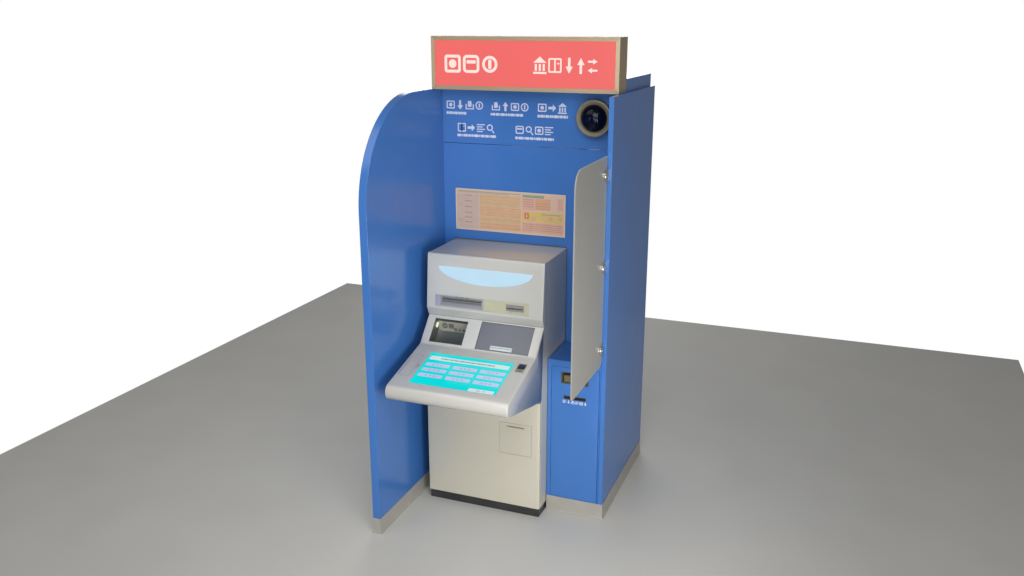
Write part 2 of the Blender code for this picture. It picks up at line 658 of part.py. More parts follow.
def front_door():
    """Pan-shaped steel door, hinged on the right, with a shallow pocket behind its flap."""
    bottom = MACHINE_BOTTOM + 0.0015
    top = 0.6255
    radius = FRONT_DOOR_DEPTH / 2
    back = LOWER_FRONT + FRONT_DOOR_DEPTH
    pivot = (MACHINE_RIGHT - radius, LOWER_FRONT + radius)
    outline = filleted([(MACHINE_LEFT, LOWER_FRONT, CASE_EDGE), (MACHINE_RIGHT, LOWER_FRONT, radius * 0.99),
                        (MACHINE_RIGHT, back, radius * 0.99), (MACHINE_LEFT, back, 0)], steps=4)
    door = prism("front_door", outline, "Z", bottom, top, "warm_grey_steel")
    skin = 0.002
    rim = 0.022
    land = 0.015
    inner = (LOWER_FRONT + skin, back + REACH)
    spans = [
        ((MACHINE_LEFT + rim, FLAP_X[0] - land), (bottom + rim, top - rim)),
        ((FLAP_X[1] + land, MACHINE_RIGHT - rim), (bottom + rim, top - rim)),
        ((FLAP_X[0] - land - TOUCH, FLAP_X[1] + land + TOUCH), (bottom + rim, FLAP_Z[0] - land)),
        ((FLAP_X[0] - land - TOUCH, FLAP_X[1] + land + TOUCH), (FLAP_Z[1] + land, top - rim)),
    ]
    cutters = []
    for number, (x_span, z_span) in enumerate(spans):
        cutters.append(box(f"cut_door_pan_{number}", (x_span[0], inner[0], z_span[0]),
                           (x_span[1], inner[1], z_span[1])))
    flap_depth = 0.003
    cutters.append(box("cut_flap_rebate", (FLAP_X[0], LOWER_FRONT - REACH, FLAP_Z[0]),
                       (FLAP_X[1], LOWER_FRONT + flap_depth + TOUCH, FLAP_Z[1])))
    ledge = 0.012
    cutters.append(box("cut_flap_pocket", (FLAP_X[0] + ledge, LOWER_FRONT - REACH, FLAP_Z[0] + ledge),
                       (FLAP_X[1] - ledge, LOWER_FRONT + 0.016, FLAP_Z[1] - ledge)))
    hinge_origin(cut(door, *cutters), (*pivot, bottom))
    maintenance_flap(flap_depth)
    switch_x = (FLAP_X[0] + FLAP_X[1]) / 2
    switch_z = 0.405
    switch = cylinder("key_switch", (switch_x, switch_z), 0.012, "Y", LOWER_FRONT + 0.005,
                      LOWER_FRONT + 0.016 - TOUCH, "satin_steel", 20)
    key_way = box("cut_key_switch", (switch_x - 0.0015, LOWER_FRONT, switch_z - 0.008),
                  (switch_x + 0.0015, LOWER_FRONT + 0.009, switch_z + 0.008))
    hinge_origin(cut(switch, key_way), (switch_x, LOWER_FRONT, switch_z))


def maintenance_flap(depth):
    """Drop-down flap with a finger slot, turning in its own rounded bottom edge."""
    low_z = FLAP_Z[0] + SEAM
    radius = depth / 2
    axis = (LOWER_FRONT + radius, low_z + radius)
    outline = [(LOWER_FRONT, axis[1])]
    for step in range(1, 4):
        turn = math.pi + math.pi * step / 4
        outline.append((axis[0] + radius * math.cos(turn), axis[1] + radius * math.sin(turn)))
    outline += [(LOWER_FRONT + depth, axis[1]), (LOWER_FRONT + depth, FLAP_Z[1] - SEAM),
                (LOWER_FRONT, FLAP_Z[1] - SEAM)]
    flap = prism("maintenance_flap", outline, "X", FLAP_X[0] + SEAM, FLAP_X[1] - SEAM, "warm_grey_steel")
    slot = box("cut_flap_slot", (MACHINE_LEFT + 0.442, LOWER_FRONT - REACH, 0.4785),
               (MACHINE_LEFT + 0.531, LOWER_FRONT + REACH, 0.4835))
    hinge_origin(cut(flap, slot), (FLAP_X[0], *axis))


# ---- upper fascia --------------------------------------------------------
LENS_X = (0.060, 0.556)
LENS_S = (0.060, 0.140)
INSERT_X = (0.043, 0.542)
INSERT_S = (0.205, 0.265)
PASSBOOK_X = (0.070, 0.303)
CARD_X = (0.425, 0.516)
CARD_S = (0.218, 0.248)


def crescent(shrink):
    """Half ellipse under a straight top edge, as (x, s) points."""
    middle = sum(LENS_X) / 2
    reach = (LENS_X[1] - LENS_X[0]) / 2 - shrink
    drop = LENS_S[1] - LENS_S[0] - 2 * shrink
    steps = 28
    points = []
    for step in range(steps + 1):
        turn = math.pi * step / steps
        points.append((middle - reach * math.cos(turn), LENS_S[0] + shrink + drop * math.sin(turn)))
    return points


def upper_fascia():
    """Moulded front cover that lifts on a hinge at its top rear edge."""
    pin = 0.004
    outline = filleted([(FASCIA_BACK, CREASE[1] + SEAM, 0), (CREASE[0] + TOUCH, CREASE[1] + SEAM, 0.002),
                        (*FASCIA_CHIN, 0.012), (*FASCIA_TOP, 0.010),
                        (FASCIA_BACK, MACHINE_TOP, pin)])
    inner = inset(outline, SKIN, 0.02)
    bm = prism_mesh(outline, "X", MACHINE_LEFT, MACHINE_RIGHT)
    rounded_sides(bm, lambda middle: middle.y < FASCIA_BACK - 2 * SKIN or middle.z > MACHINE_TOP - SEAM)
    fascia = smooth(add_object("upper_fascia", bm, "warm_grey_case"))
    hollow = prism("cut_fascia", inner, "X", MACHINE_LEFT + SKIN, MACHINE_RIGHT - SKIN)
    through = (-0.030, 0.030)
    lens_hole = UPPER.plate("cut_lens", crescent(0), through)
    insert_hole = UPPER.box("cut_insert", INSERT_X, INSERT_S, through)
    cut(fascia, hollow, lens_hole, insert_hole)
    hinge = (MACHINE_LEFT, FASCIA_BACK - pin, MACHINE_TOP - pin)
    hinge_origin(fascia, hinge)
    UPPER.plate("crescent_lens", crescent(0.0004), (-SKIN - 0.002, -0.0004), "lamp_lens")
    plate = UPPER.box("insert_panel", grown(INSERT_X, -TOUCH), grown(INSERT_S, -TOUCH),
                      (-0.0055, -0.0015), "beige_insert")
    passbook_hole = UPPER.box("cut_passbook_hole", PASSBOOK_X, grown(INSERT_S, -0.003), through)
    card_hole = UPPER.box("cut_card_hole", grown(CARD_X, -0.003), grown(CARD_S, -0.003), through)
    cut(plate, passbook_hole, card_hole)
    passbook_mouth()
    card_mouth()


def passbook_mouth():
    """Wide funnel that guides a bank book into its slot."""
    depth = -0.030
    slot_s = (0.2283, 0.2347)
    block = UPPER.box("passbook_bezel", grown(PASSBOOK_X, -TOUCH), grown(INSERT_S, -0.003 - TOUCH),
                      (depth, -0.0015), "dark_grey_plastic")
    throat_x = grown(PASSBOOK_X, -0.010)
    slot = UPPER.box("cut_passbook_slot", throat_x, slot_s, (2 * depth, 0.03))
    funnel = [(-INSERT_S[0] - 0.007, 0.001), (-slot_s[0], 0.6 * depth), (-slot_s[1], 0.6 * depth),
              (-INSERT_S[1] + 0.007, 0.001)]
    wedge = UPPER.place(prism("cut_passbook_funnel", funnel, "X", *throat_x))
    cut(block, slot, wedge)


def card_mouth():
    """Raised bezel round the card slot."""
    flange = UPPER.box("card_bezel", CARD_X, CARD_S, (-0.0015 + TOUCH, 0.0025), "dark_grey_plastic")
    throat = UPPER.box("add_card_throat", grown(CARD_X, -0.0035), grown(CARD_S, -0.0035), (-0.020, 0.0))
    slot = UPPER.box("cut_card_slot", grown(CARD_X, -0.0045), (0.2332, 0.2380), (-0.06, 0.03))
    cut(join(flange, throat), slot)


# ---- console -------------------------------------------------------------
COIN_X = (0.044, 0.222)
COIN_S = (0.017, 0.146)
BILL_X = (0.293, 0.571)
BILL_S = (0.006, 0.155)
PULL_X = (0.368, 0.482)
PULL_S = (0.124, 0.146)
SHUTTER_LAP = 0.004          # shutter beyond its opening, under the cover
SHUTTER_H = (-0.0075, -0.0045)
PULL_THICKNESS = 0.0012      # let into the shutter, so it passes under the cover
COIN_TRAVEL = 0.145
DISPLAY_X = (0.094, 0.531)
DISPLAY_S = (0.062, 0.322)
READER_X = (0.549, 0.592)
READER_S = (0.058, 0.129)
HANDSET_X = (0.014, 0.070)
HANDSET_S = (0.098, 0.271)


def console():
    """Moulded desk with the money pockets' face above it, open towards the cabinet."""
    outline = filleted([(*CREASE, 0), (*DESK_TOP, 0.020), (*NOSE_TOP, NOSE_RADIUS),
                        (*NOSE_BOTTOM, NOSE_RADIUS), (*UNDERSIDE_BACK, 0)])
    inner = inset(outline, SKIN, 0.02)
    bm = prism_mesh(outline, "X", MACHINE_LEFT, MACHINE_RIGHT)
    slope = (CREASE[0] - UNDERSIDE_BACK[0]) / (CREASE[1] - UNDERSIDE_BACK[1])

    def in_front_of_seam(middle):
        seam_y = UNDERSIDE_BACK[0] + slope * (middle.z - UNDERSIDE_BACK[1])
        return middle.y < seam_y - SKIN

    rounded_sides(bm, in_front_of_seam)
    body = smooth(add_object("console", bm, "warm_grey_case"))
    hollow = prism("cut_console", inner, "X", MACHINE_LEFT + SKIN, MACHINE_RIGHT - SKIN)
    through = (-0.010, 0.030)
    openings = [
        MIDDLE.box("cut_coin_opening", COIN_X, COIN_S, through),
        MIDDLE.box("cut_bill_opening", BILL_X, BILL_S, through),
        DESK.box("cut_display_opening", DISPLAY_X, DISPLAY_S, through),
        DESK.box("cut_reader_opening", READER_X, READER_S, through),
        DESK.plate("cut_handset_opening", rounded_rectangle(HANDSET_X, HANDSET_S, 0.014), through),
        DESK.box("cut_finger_notch", (0.0755, 0.0805), (0.168, 0.203), through),
    ]
    cut(body, hollow, *openings)
    return body


def pocket_tray(name, x_span, s_span, depth, slot):
    """Sheet tray behind one of the money openings."""
    wall = 0.002
    rim = SHUTTER_H[0] - SEAM
    tray = MIDDLE.box(name, grown(x_span, wall), grown(s_span, wall), (rim - depth, rim), slot)
    hollow = MIDDLE.box(f"cut_{name}", x_span, s_span, (rim - depth + wall, rim + REACH))
    return cut(tray, hollow)


def money_pockets():
    pocket_tray("coin_tray", COIN_X, COIN_S, 0.070, "satin_steel")
    pocket_tray("bill_pocket", BILL_X, BILL_S, 0.095, "dark_grey_plastic")
    closed = MIDDLE.box("bill_shutter", grown(BILL_X, SHUTTER_LAP), grown(BILL_S, SHUTTER_LAP),
                        SHUTTER_H, "dark_grey_plastic")
    pull_floor = SHUTTER_H[1] - PULL_THICKNESS - TOUCH
    recess = MIDDLE.box("cut_pull_recess", PULL_X, PULL_S, (pull_floor, SHUTTER_H[1] + REACH))
    hinge_origin(cut(closed, recess), MIDDLE.point(sum(BILL_X) / 2, BILL_S[1]))
    MIDDLE.box("shutter_pull", grown(PULL_X, -TOUCH), grown(PULL_S, -TOUCH),
               (pull_floor + TOUCH, SHUTTER_H[1]), "satin_steel")
    parked = MIDDLE.box("coin_shutter", grown(COIN_X, SHUTTER_LAP),
                        (COIN_S[0] - SHUTTER_LAP + COIN_TRAVEL, COIN_S[1] + SHUTTER_LAP + COIN_TRAVEL),
                        SHUTTER_H, "frosted_acrylic")
    hinge_origin(parked, MIDDLE.point(sum(COIN_X) / 2, COIN_S[1] + COIN_TRAVEL))


def desk_units():
    glass_h = (-0.0050, -0.0006)
    DESK.box("touch_screen", grown(DISPLAY_X, -TOUCH), grown(DISPLAY_S, -TOUCH), glass_h, "screen_glass")
    DESK.box("display_unit", grown(DISPLAY_X, 0.006), grown(DISPLAY_S, 0.004),
             (-0.032, glass_h[0] - TOUCH), "module_housing")
    reader = DESK.box("reader_block", grown(READER_X, -0.0005), grown(READER_S, -0.0005),
                      (-0.028, 0.0012), "dark_grey_plastic")
    window = DESK.box("cut_reader_window", (READER_X[0] + 0.004, READER_X[0] + 0.024),
                      (READER_S[0] + 0.005, READER_S[0] + 0.039), (-0.004, 0.010))
    cut(reader, window)
    wall = 0.002
    floor = -0.034
    cradle = DESK.box("handset_cradle", (SKIN + 0.0006, 0.0745), grown(HANDSET_S, 0.006),
                      (floor, -SKIN - TOUCH), "warm_grey_case")
    well = DESK.plate("cut_cradle", rounded_rectangle(HANDSET_X, HANDSET_S, 0.014),
                      (floor + wall, REACH))
    cut(cradle, well)
    handset(floor + wall)


def handset(cradle_floor):
    """Telephone handset lying flush in its cradle; it lifts straight out."""
    outline = rounded_rectangle(grown(HANDSET_X, -0.0012), grown(HANDSET_S, -0.0012), 0.013)
    body = DESK.plate("handset", outline, (cradle_floor + 0.0080, -0.0008), "warm_grey_case")
    ends = []
    for number, s_span in enumerate(((HANDSET_S[0] + 0.006, HANDSET_S[0] + 0.046),
                                     (HANDSET_S[1] - 0.046, HANDSET_S[1] - 0.006))):
        capsule = rounded_rectangle(grown(HANDSET_X, -0.007), s_span, 0.012)
        ends.append(DESK.plate(f"add_handset_{number}", capsule, (cradle_floor + TOUCH, cradle_floor + 0.012)))
    join(body, *ends)
    hinge_origin(body, DESK.point(sum(HANDSET_X) / 2, sum(HANDSET_S) / 2))


# ---- what works inside ---------------------------------------------------
def safe():
    low = Vector((-0.385, -0.185, MACHINE_BOTTOM + SHEET + TOUCH))
    high = Vector((0.188, 0.430, 0.620))
    plate = 0.010
    body = box("safe_body", low, high, "safe_paint")
    wall = Vector((plate, plate, plate))
    inner_low = low + wall
    inner_low.y = low.y - REACH
    cut(body, box("cut_safe", inner_low, high - wall))
    box("safe_door", (low.x, low.y - 0.020, low.z), (high.x, low.y - TOUCH, high.z), "safe_paint")
    return high.z


def inner_units():
    top_of_safe = safe()
    shelf = (0.985, 0.991)
    box("note_recycler", (-0.115, -0.090, top_of_safe + TOUCH), (0.185, 0.400, 0.930),
        "module_housing")
    box("coin_recycler", (-0.385, -0.090, top_of_safe + TOUCH), (-0.135, 0.350, 0.975),
        "module_housing")
    box("inner_shelf", (MACHINE_LEFT + SHEET + TOUCH, -0.140, shelf[0]),
        (MACHINE_RIGHT - SHEET - TOUCH, 0.440, shelf[1]), "zinc_sheet")
    box("passbook_printer", (-0.350, -0.140, shelf[1] + TOUCH), (-0.090, 0.100, 1.140),
        "module_housing")
    box("card_reader", (0.012, -0.140, shelf[1] + TOUCH), (0.118, 0.080, 1.120), "dark_grey_plastic")
    box("controller", (-0.300, 0.130, shelf[1] + TOUCH), (0.130, 0.420, 1.230),
        "module_housing")


def build():
    clear_scene()
    booth_panels()
    service_hood()
    rear_door()
    skirtings()
    illuminated_sign()
    notice_board()
    security_camera()
    privacy_screen()
    bin_cabinet()
    machine_cabinet()
    front_door()
    upper_fascia()
    console()
    money_pockets()
    desk_units()
    inner_units()


build()
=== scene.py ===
"""Looks of the cash machine in its laminate booth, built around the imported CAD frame."""
import json
import math

import bmesh
import bpy
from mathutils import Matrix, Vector

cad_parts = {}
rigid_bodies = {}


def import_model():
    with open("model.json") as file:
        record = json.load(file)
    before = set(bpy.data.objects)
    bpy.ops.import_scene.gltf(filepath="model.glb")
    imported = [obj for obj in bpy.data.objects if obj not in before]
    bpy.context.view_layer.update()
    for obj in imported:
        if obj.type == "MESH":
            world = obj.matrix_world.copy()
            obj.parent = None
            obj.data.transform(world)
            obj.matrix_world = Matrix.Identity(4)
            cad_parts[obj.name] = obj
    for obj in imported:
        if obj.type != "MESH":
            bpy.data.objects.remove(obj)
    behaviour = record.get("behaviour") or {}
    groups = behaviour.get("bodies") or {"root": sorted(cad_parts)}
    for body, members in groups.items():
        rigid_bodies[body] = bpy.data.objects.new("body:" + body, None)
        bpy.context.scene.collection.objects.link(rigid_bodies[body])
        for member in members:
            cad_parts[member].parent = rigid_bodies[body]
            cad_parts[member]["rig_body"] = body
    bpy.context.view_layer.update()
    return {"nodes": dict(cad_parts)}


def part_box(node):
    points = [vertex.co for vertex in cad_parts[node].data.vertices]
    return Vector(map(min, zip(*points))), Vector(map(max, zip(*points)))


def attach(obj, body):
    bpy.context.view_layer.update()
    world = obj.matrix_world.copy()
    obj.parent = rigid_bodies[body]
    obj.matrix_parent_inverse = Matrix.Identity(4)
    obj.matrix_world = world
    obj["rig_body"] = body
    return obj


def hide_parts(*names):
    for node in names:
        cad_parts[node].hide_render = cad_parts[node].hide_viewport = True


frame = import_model()
NODES = frame["nodes"]
SLOT_OF = {name: node.data.materials[0].name.split(".")[0] for name, node in NODES.items()}
BODY_OF = {name: node["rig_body"] for name, node in NODES.items()}


# ---- colour and finishes -------------------------------------------------
def linear(red, green, blue):
    """Linear colour of a display colour given as 0 to 255."""
    result = []
    for value in (red, green, blue):
        part = value / 255
        result.append(part / 12.92 if part <= 0.04045 else ((part + 0.055) / 1.055) ** 2.4)
    return result


def scaled(colour, factor):
    return (*[min(1.0, part * factor) for part in colour], 1.0)


FINISH = {}
TONE_ENDS = (0.05, 0.95)      # noise values that get the darkest and the lightest tone
SPREAD_ENDS = (0.1, 0.9)      # noise values that get the smoothest and the roughest spots
SMOOTHEST = 0.02


def add_node(tree, kind, values=None):
    made = tree.nodes.new(f"ShaderNode{kind}")
    for socket, value in (values or {}).items():
        made.inputs[socket].default_value = value
    return made


def finish(name, colour, rough, tone, patch, metal=0.0, spread=0.04, grain=700.0,
           relief=0.00002, stretch=(1.0, 1.0, 1.0), glow=0.0, body=0.12, sockets=None):
    """A Principled material whose tone, roughness and fine relief vary over the surface.

    tone and spread are the swings of colour and roughness, patch and grain are noise scales
    per metre, relief is a height in metres, and body dims the unlit colour of a glowing finish.
    """
    made = bpy.data.materials.new(name)
    made.use_nodes = True
    tree = made.node_tree
    link = tree.links.new
    shader = tree.nodes["Principled BSDF"]
    coords = add_node(tree, "TexCoord")
    mapping = add_node(tree, "Mapping", {"Scale": stretch})
    link(coords.outputs["Object"], mapping.inputs["Vector"])
    clouds = add_node(tree, "TexNoise", {"Scale": patch, "Detail": 1.5, "Roughness": 0.4})
    link(mapping.outputs["Vector"], clouds.inputs["Vector"])
    ramp = add_node(tree, "ValToRGB")
    ramp.color_ramp.interpolation = "EASE"
    ends = zip(ramp.color_ramp.elements, TONE_ENDS, (1.0 - tone, 1.0 + tone))
    for element, place, factor in ends:
        element.position = place
        element.color = scaled(linear(*colour), factor)
    link(clouds.outputs["Fac"], ramp.inputs["Fac"])
    link(ramp.outputs["Color"], shader.inputs["Base Color"])
    fine = add_node(tree, "TexNoise", {"Scale": grain, "Detail": 3.0})
    link(mapping.outputs["Vector"], fine.inputs["Vector"])
    spread_map = add_node(tree, "MapRange", {
        "From Min": SPREAD_ENDS[0], "From Max": SPREAD_ENDS[1],
        "To Min": max(SMOOTHEST, rough - spread), "To Max": rough + spread})
    link(clouds.outputs["Fac"], spread_map.inputs["Value"])
    link(spread_map.outputs["Result"], shader.inputs["Roughness"])
    bump = add_node(tree, "Bump", {"Distance": relief})
    link(fine.outputs["Fac"], bump.inputs["Height"])
    link(bump.outputs["Normal"], shader.inputs["Normal"])
    shader.inputs["Metallic"].default_value = metal
    if glow:
        link(ramp.outputs["Color"], shader.inputs["Emission Color"])
        shader.inputs["Emission Strength"].default_value = glow
        unlit = add_node(tree, "ValToRGB")
        for dimmed, element in zip(unlit.color_ramp.elements, ramp.color_ramp.elements):
            dimmed.position = element.position
            dimmed.color = scaled(element.color[:3], body)
        link(clouds.outputs["Fac"], unlit.inputs["Fac"])
        link(unlit.outputs["Color"], shader.inputs["Base Color"])
    for socket, value in (sockets or {}).items():
        shader.inputs[socket].default_value = value
    FINISH[name] = made


def make_finishes():
    finish("blue_laminate", (60, 111, 182), 0.22, 0.04, 5, grain=1400, spread=0.03,
           relief=0.00001)
    finish("blue_door", (59, 109, 179), 0.23, 0.04, 6, grain=1400, spread=0.03,
           relief=0.00001)
    finish("vinyl_skirting", (158, 156, 150), 0.42, 0.05, 16, relief=0.00003)
    finish("sign_metal", (174, 154, 126), 0.42, 0.08, 40, metal=0.35, grain=260,
           stretch=(0.15, 10, 10), relief=0.00004)
    # the uprights are a lighter copy of the same metal, brushed the other way: the lighter colour is
    # painted light on the side trims
    finish("sign_metal_upright_painted_lighter", (186, 170, 140), 0.42, 0.08, 40, metal=0.35, grain=260,
           stretch=(10, 10, 0.15), relief=0.00004)
    finish("sign_face", (238, 106, 103), 0.3, 0.03, 2, grain=300, glow=0.9)
    finish("sign_white", (252, 226, 218), 0.3, 0.02, 9, glow=0.9)
    finish("header_white", (198, 204, 228), 0.4, 0.04, 30)
    painted = {"Specular IOR Level": 0.75, "Coat Weight": 0.4, "Coat Roughness": 0.2}
    finish("warm_grey_case", (182, 181, 177), 0.24, 0.025, 2.6, grain=1600, spread=0.015,
           relief=0.000015, sockets=painted)
    finish("warm_grey_steel", (190, 186, 171), 0.26, 0.025, 2.6, grain=900, spread=0.015,
           relief=0.00002, sockets=painted)
    finish("black_plinth", (46, 46, 47), 0.4, 0.25, 14, relief=0.00006)
    finish("beige_insert", (172, 169, 146), 0.4, 0.04, 24, grain=1800)
    finish("margin_grey", (150, 146, 168), 0.4, 0.05, 30)
    finish("margin_dark", (124, 124, 126), 0.4, 0.08, 30)
    finish("dark_grey_plastic", (136, 138, 146), 0.34, 0.08, 18, grain=1500)
    finish("shutter_plastic", (96, 98, 108), 0.24, 0.05, 10, grain=1500)
    finish("bezel_grey", (146, 146, 136), 0.38, 0.06, 30, grain=1500)
    finish("slot_black", (24, 25, 28), 0.5, 0.3, 60)
    finish("satin_steel", (190, 192, 188), 0.32, 0.03, 60, metal=0.85, grain=160,
           stretch=(0.2, 14, 14), spread=0.02, relief=0.00001)
    finish("pull_steel", (186, 192, 194), 0.36, 0.03, 60, metal=0.15, grain=160,
           stretch=(0.2, 14, 14), spread=0.02, relief=0.00001)
    finish("tray_steel", (88, 92, 90), 0.34, 0.06, 22, metal=0.3, grain=160,
           stretch=(0.3, 10, 10), spread=0.04, relief=0.00001)
    finish("chrome", (214, 214, 212), 0.12, 0.05, 60, metal=1.0, grain=900)
    finish("ivory", (214, 206, 180), 0.4, 0.05, 60)
    finish("bronze_ring", (106, 102, 88), 0.45, 0.06, 30, metal=0.1, grain=1500, relief=0.00002)
    finish("black_glass", (10, 12, 22), 0.05, 0.4, 30, relief=0.000002,
           sockets={"Coat Weight": 1.0, "Coat Roughness": 0.03})
    finish("smoked_dome", (34, 42, 84), 0.03, 0.2, 30, relief=0.0, spread=0.01,
           sockets={"Transmission Weight": 0.9, "IOR": 1.25})
    # blue glass that glows though it is no lamp: a painted reflection on the lens
    finish("blue_lens_painted_glow", (22, 40, 120), 0.08, 0.4, 60, glow=0.35)
    # glowing green and white dots on the camera's eye are no lamps: painted glints standing for
    # reflections in the dome
    finish("painted_glint_green", (150, 255, 200), 0.2, 0.2, 60, glow=6.0)
    finish("painted_glint_white", (225, 240, 255), 0.2, 0.1, 60, glow=9.0)
    finish("screen_cyan", (4, 222, 222), 0.10, 0.05, 3, relief=0.0, glow=0.92, body=0.05)
    finish("screen_pale", (208, 226, 224), 0.10, 0.03, 12, relief=0.0, glow=0.86)
    finish("screen_button", (182, 200, 230), 0.10, 0.04, 16, relief=0.0, glow=0.86)
    finish("screen_button_edge", (120, 190, 215), 0.10, 0.04, 16, relief=0.0, glow=0.84)
    finish("screen_mark", (140, 160, 190), 0.10, 0.05, 60, relief=0.0, glow=0.8)
    finish("lamp_lens", (190, 222, 242), 0.16, 0.035, 9, glow=0.88,
           sockets={"Coat Weight": 0.5, "Coat Roughness": 0.06})
    finish("lamp_warm", (226, 232, 196), 0.3, 0.05, 60, glow=1.0)
    # glowing white for the strip along the lens's top edge: a painted highlight
    finish("painted_highlight_white", (232, 244, 252), 0.2, 0.03, 30, glow=0.95)
    finish("frosted_acrylic", (158, 157, 152), 0.36, 0.17, 230, grain=420, spread=0.08,
           relief=0.00012)
    # the screen's edges glow near white though they are no lamp: a painted highlight on the
    # acrylic's edges
    finish("acrylic_edge_painted_glow", (246, 246, 244), 0.2, 0.02, 30, glow=0.25)
    finish("clear_shutter", (190, 198, 200), 0.12, 0.03, 20, relief=0.0,
           sockets={"Transmission Weight": 0.8, "IOR": 1.48})
    finish("notice_print", (206, 176, 158), 0.5, 0.03, 16, grain=2000)
    finish("notice_border", (204, 194, 172), 0.5, 0.03, 16)
    inks = {"tan": (196, 170, 130), "orange": (204, 156, 122), "pink": (206, 160, 142),
            "yellow": (204, 180, 102), "red": (202, 108, 104), "green": (128, 152, 122),
            "grey": (190, 168, 156)}
    for ink, colour in inks.items():
        finish(f"print_{ink}", colour, 0.5, 0.05, 30)
    finish("print_line", (156, 136, 124), 0.5, 0.08, 60)
    finish("brown_plastic", (96, 92, 68), 0.45, 0.10, 30)
    finish("envelope_paper", (112, 106, 78), 0.65, 0.06, 50, grain=1800, relief=0.00005)
    finish("envelope_brown", (94, 88, 66), 0.6, 0.06, 50, grain=1800, relief=0.00005)
    finish("zinc_sheet", (166, 168, 172), 0.42, 0.07, 38, metal=0.7, spread=0.08, grain=500)
    finish("module_housing", (164, 166, 168), 0.44, 0.06, 12, metal=0.2, grain=1200,
           relief=0.00005)
    finish("module_dark", (70, 72, 76), 0.42, 0.12, 18, grain=1500, relief=0.00005)
    finish("lever_green", (70, 150, 96), 0.4, 0.08, 40)
    finish("safe_paint", (92, 96, 100), 0.5, 0.10, 16, metal=0.1, grain=260, relief=0.00025)
    finish("rubber_foot", (44, 44, 44), 0.75, 0.25, 60, grain=600, relief=0.0001)
    finish("label_white", (198, 208, 234), 0.4, 0.04, 40)
    finish("print_dark", (62, 64, 66), 0.45, 0.15, 60)
    FINISH["screen_glass"] = FINISH["screen_cyan"]


# ---- geometry helpers ----------------------------------------------------
CORNER_ANGLE = math.radians(40)    # edges sharper than this are softened
SHARP_ANGLE = 35.0                 # degrees from which two faces are shaded apart
WELD = 0.00001
FLAT_ANGLE = math.radians(0.6)     # faces closer to level than this become one


class Panel:
    """A flat face of the object: x runs right, s runs down and h runs out, in millimetres."""

    def __init__(self, corner, right=(1, 0, 0), down=(0, 0, -1)):
        self.right = Vector(right).normalized()
        self.down = Vector(down).normalized()
        self.out = self.right.cross(-self.down)
        self.corner = Vector(corner)

    def at(self, x, s, h=0.0):
        offset = self.right * x + self.down * s + self.out * h
        return self.corner + offset * 0.001


def front_of(node):
    low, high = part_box(node)
    return Panel((low.x, low.y, high.z))


def back_of(node):
    return Panel(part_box(node)[1], right=(-1, 0, 0))


def span(node):
    """Width and height of a node's front in millimetres."""
    low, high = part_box(node)
    return (high.x - low.x) * 1000, (high.z - low.z) * 1000


def sloping(node, towards, x, s, h):
    """Panel through a node's largest face that looks towards a side.

    x, s and h say where that face's top left corner lies on the panel.
    """
    best = max((p for p in NODES[node].data.polygons if p.normal.dot(Vector(towards)) > 0.5),
               key=lambda p: p.area)
    right = Vector((1, 0, 0))
    out = Vector((0, best.normal.y, best.normal.z)).normalized()
    down = right.cross(out)
    if down.z > 0:
        down = -down
    points = [v.co for v in NODES[node].data.vertices]
    corner = (right * min(p.dot(right) for p in points) + down * min(p.dot(down) for p in points)
              + out * max(p.dot(out) for p in points))
    panel = Panel(corner, right, down)
    panel.corner = panel.at(-x, -s, -h)
    return panel


def rounded(x0, x1, s0, s1, radius=0.0, steps=5):
    """Outline of a rectangle with rounded corners."""
    radius = min(radius, (x1 - x0) / 2, (s1 - s0) / 2)
    if radius <= 0:
        return [(x0, s0), (x1, s0), (x1, s1), (x0, s1)]
    outline = []
    corners = [(x0 + radius, s0 + radius, 180), (x1 - radius, s0 + radius, 270),
               (x1 - radius, s1 - radius, 0), (x0 + radius, s1 - radius, 90)]
    for cx, cs, start in corners:
        for step in range(steps + 1):
            turn = math.radians(start + 90 * step / steps)
            outline.append((cx + radius * math.cos(turn), cs + radius * math.sin(turn)))
    return outline


def ellipse(cx, cs, rx, rs=None, steps=32):
    rs = rx if rs is None else rs
    return [(cx + rx * math.cos(math.tau * i / steps), cs + rs * math.sin(math.tau * i / steps))
            for i in range(steps)]


def settle(made, body, slot, bevel=0.0, segments=2, angle=SHARP_ANGLE, stands_for=()):
    """Shade a finished piece, give it to its body and hide the CAD parts it stands for."""
    made.data.shade_smooth()
    made.data.set_sharp_from_angle(angle=math.radians(angle))
    if bevel:
        step = made.modifiers.new("edges", "BEVEL")
        step.width = bevel
        step.segments = segments
        step.limit_method = "ANGLE"
        step.angle_limit = CORNER_ANGLE
        step.harden_normals = True
    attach(made, body)
    if stands_for:
        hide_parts(*stands_for)
    return made


def to_object(name, bm, finishes):
    bmesh.ops.recalc_face_normals(bm, faces=bm.faces)
    mesh = bpy.data.meshes.new(name)
    bm.to_mesh(mesh)
    bm.free()
    for key in finishes:
        mesh.materials.append(FINISH[key])
    made = bpy.data.objects.new(name, mesh)
    bpy.context.scene.collection.objects.link(made)
    return made


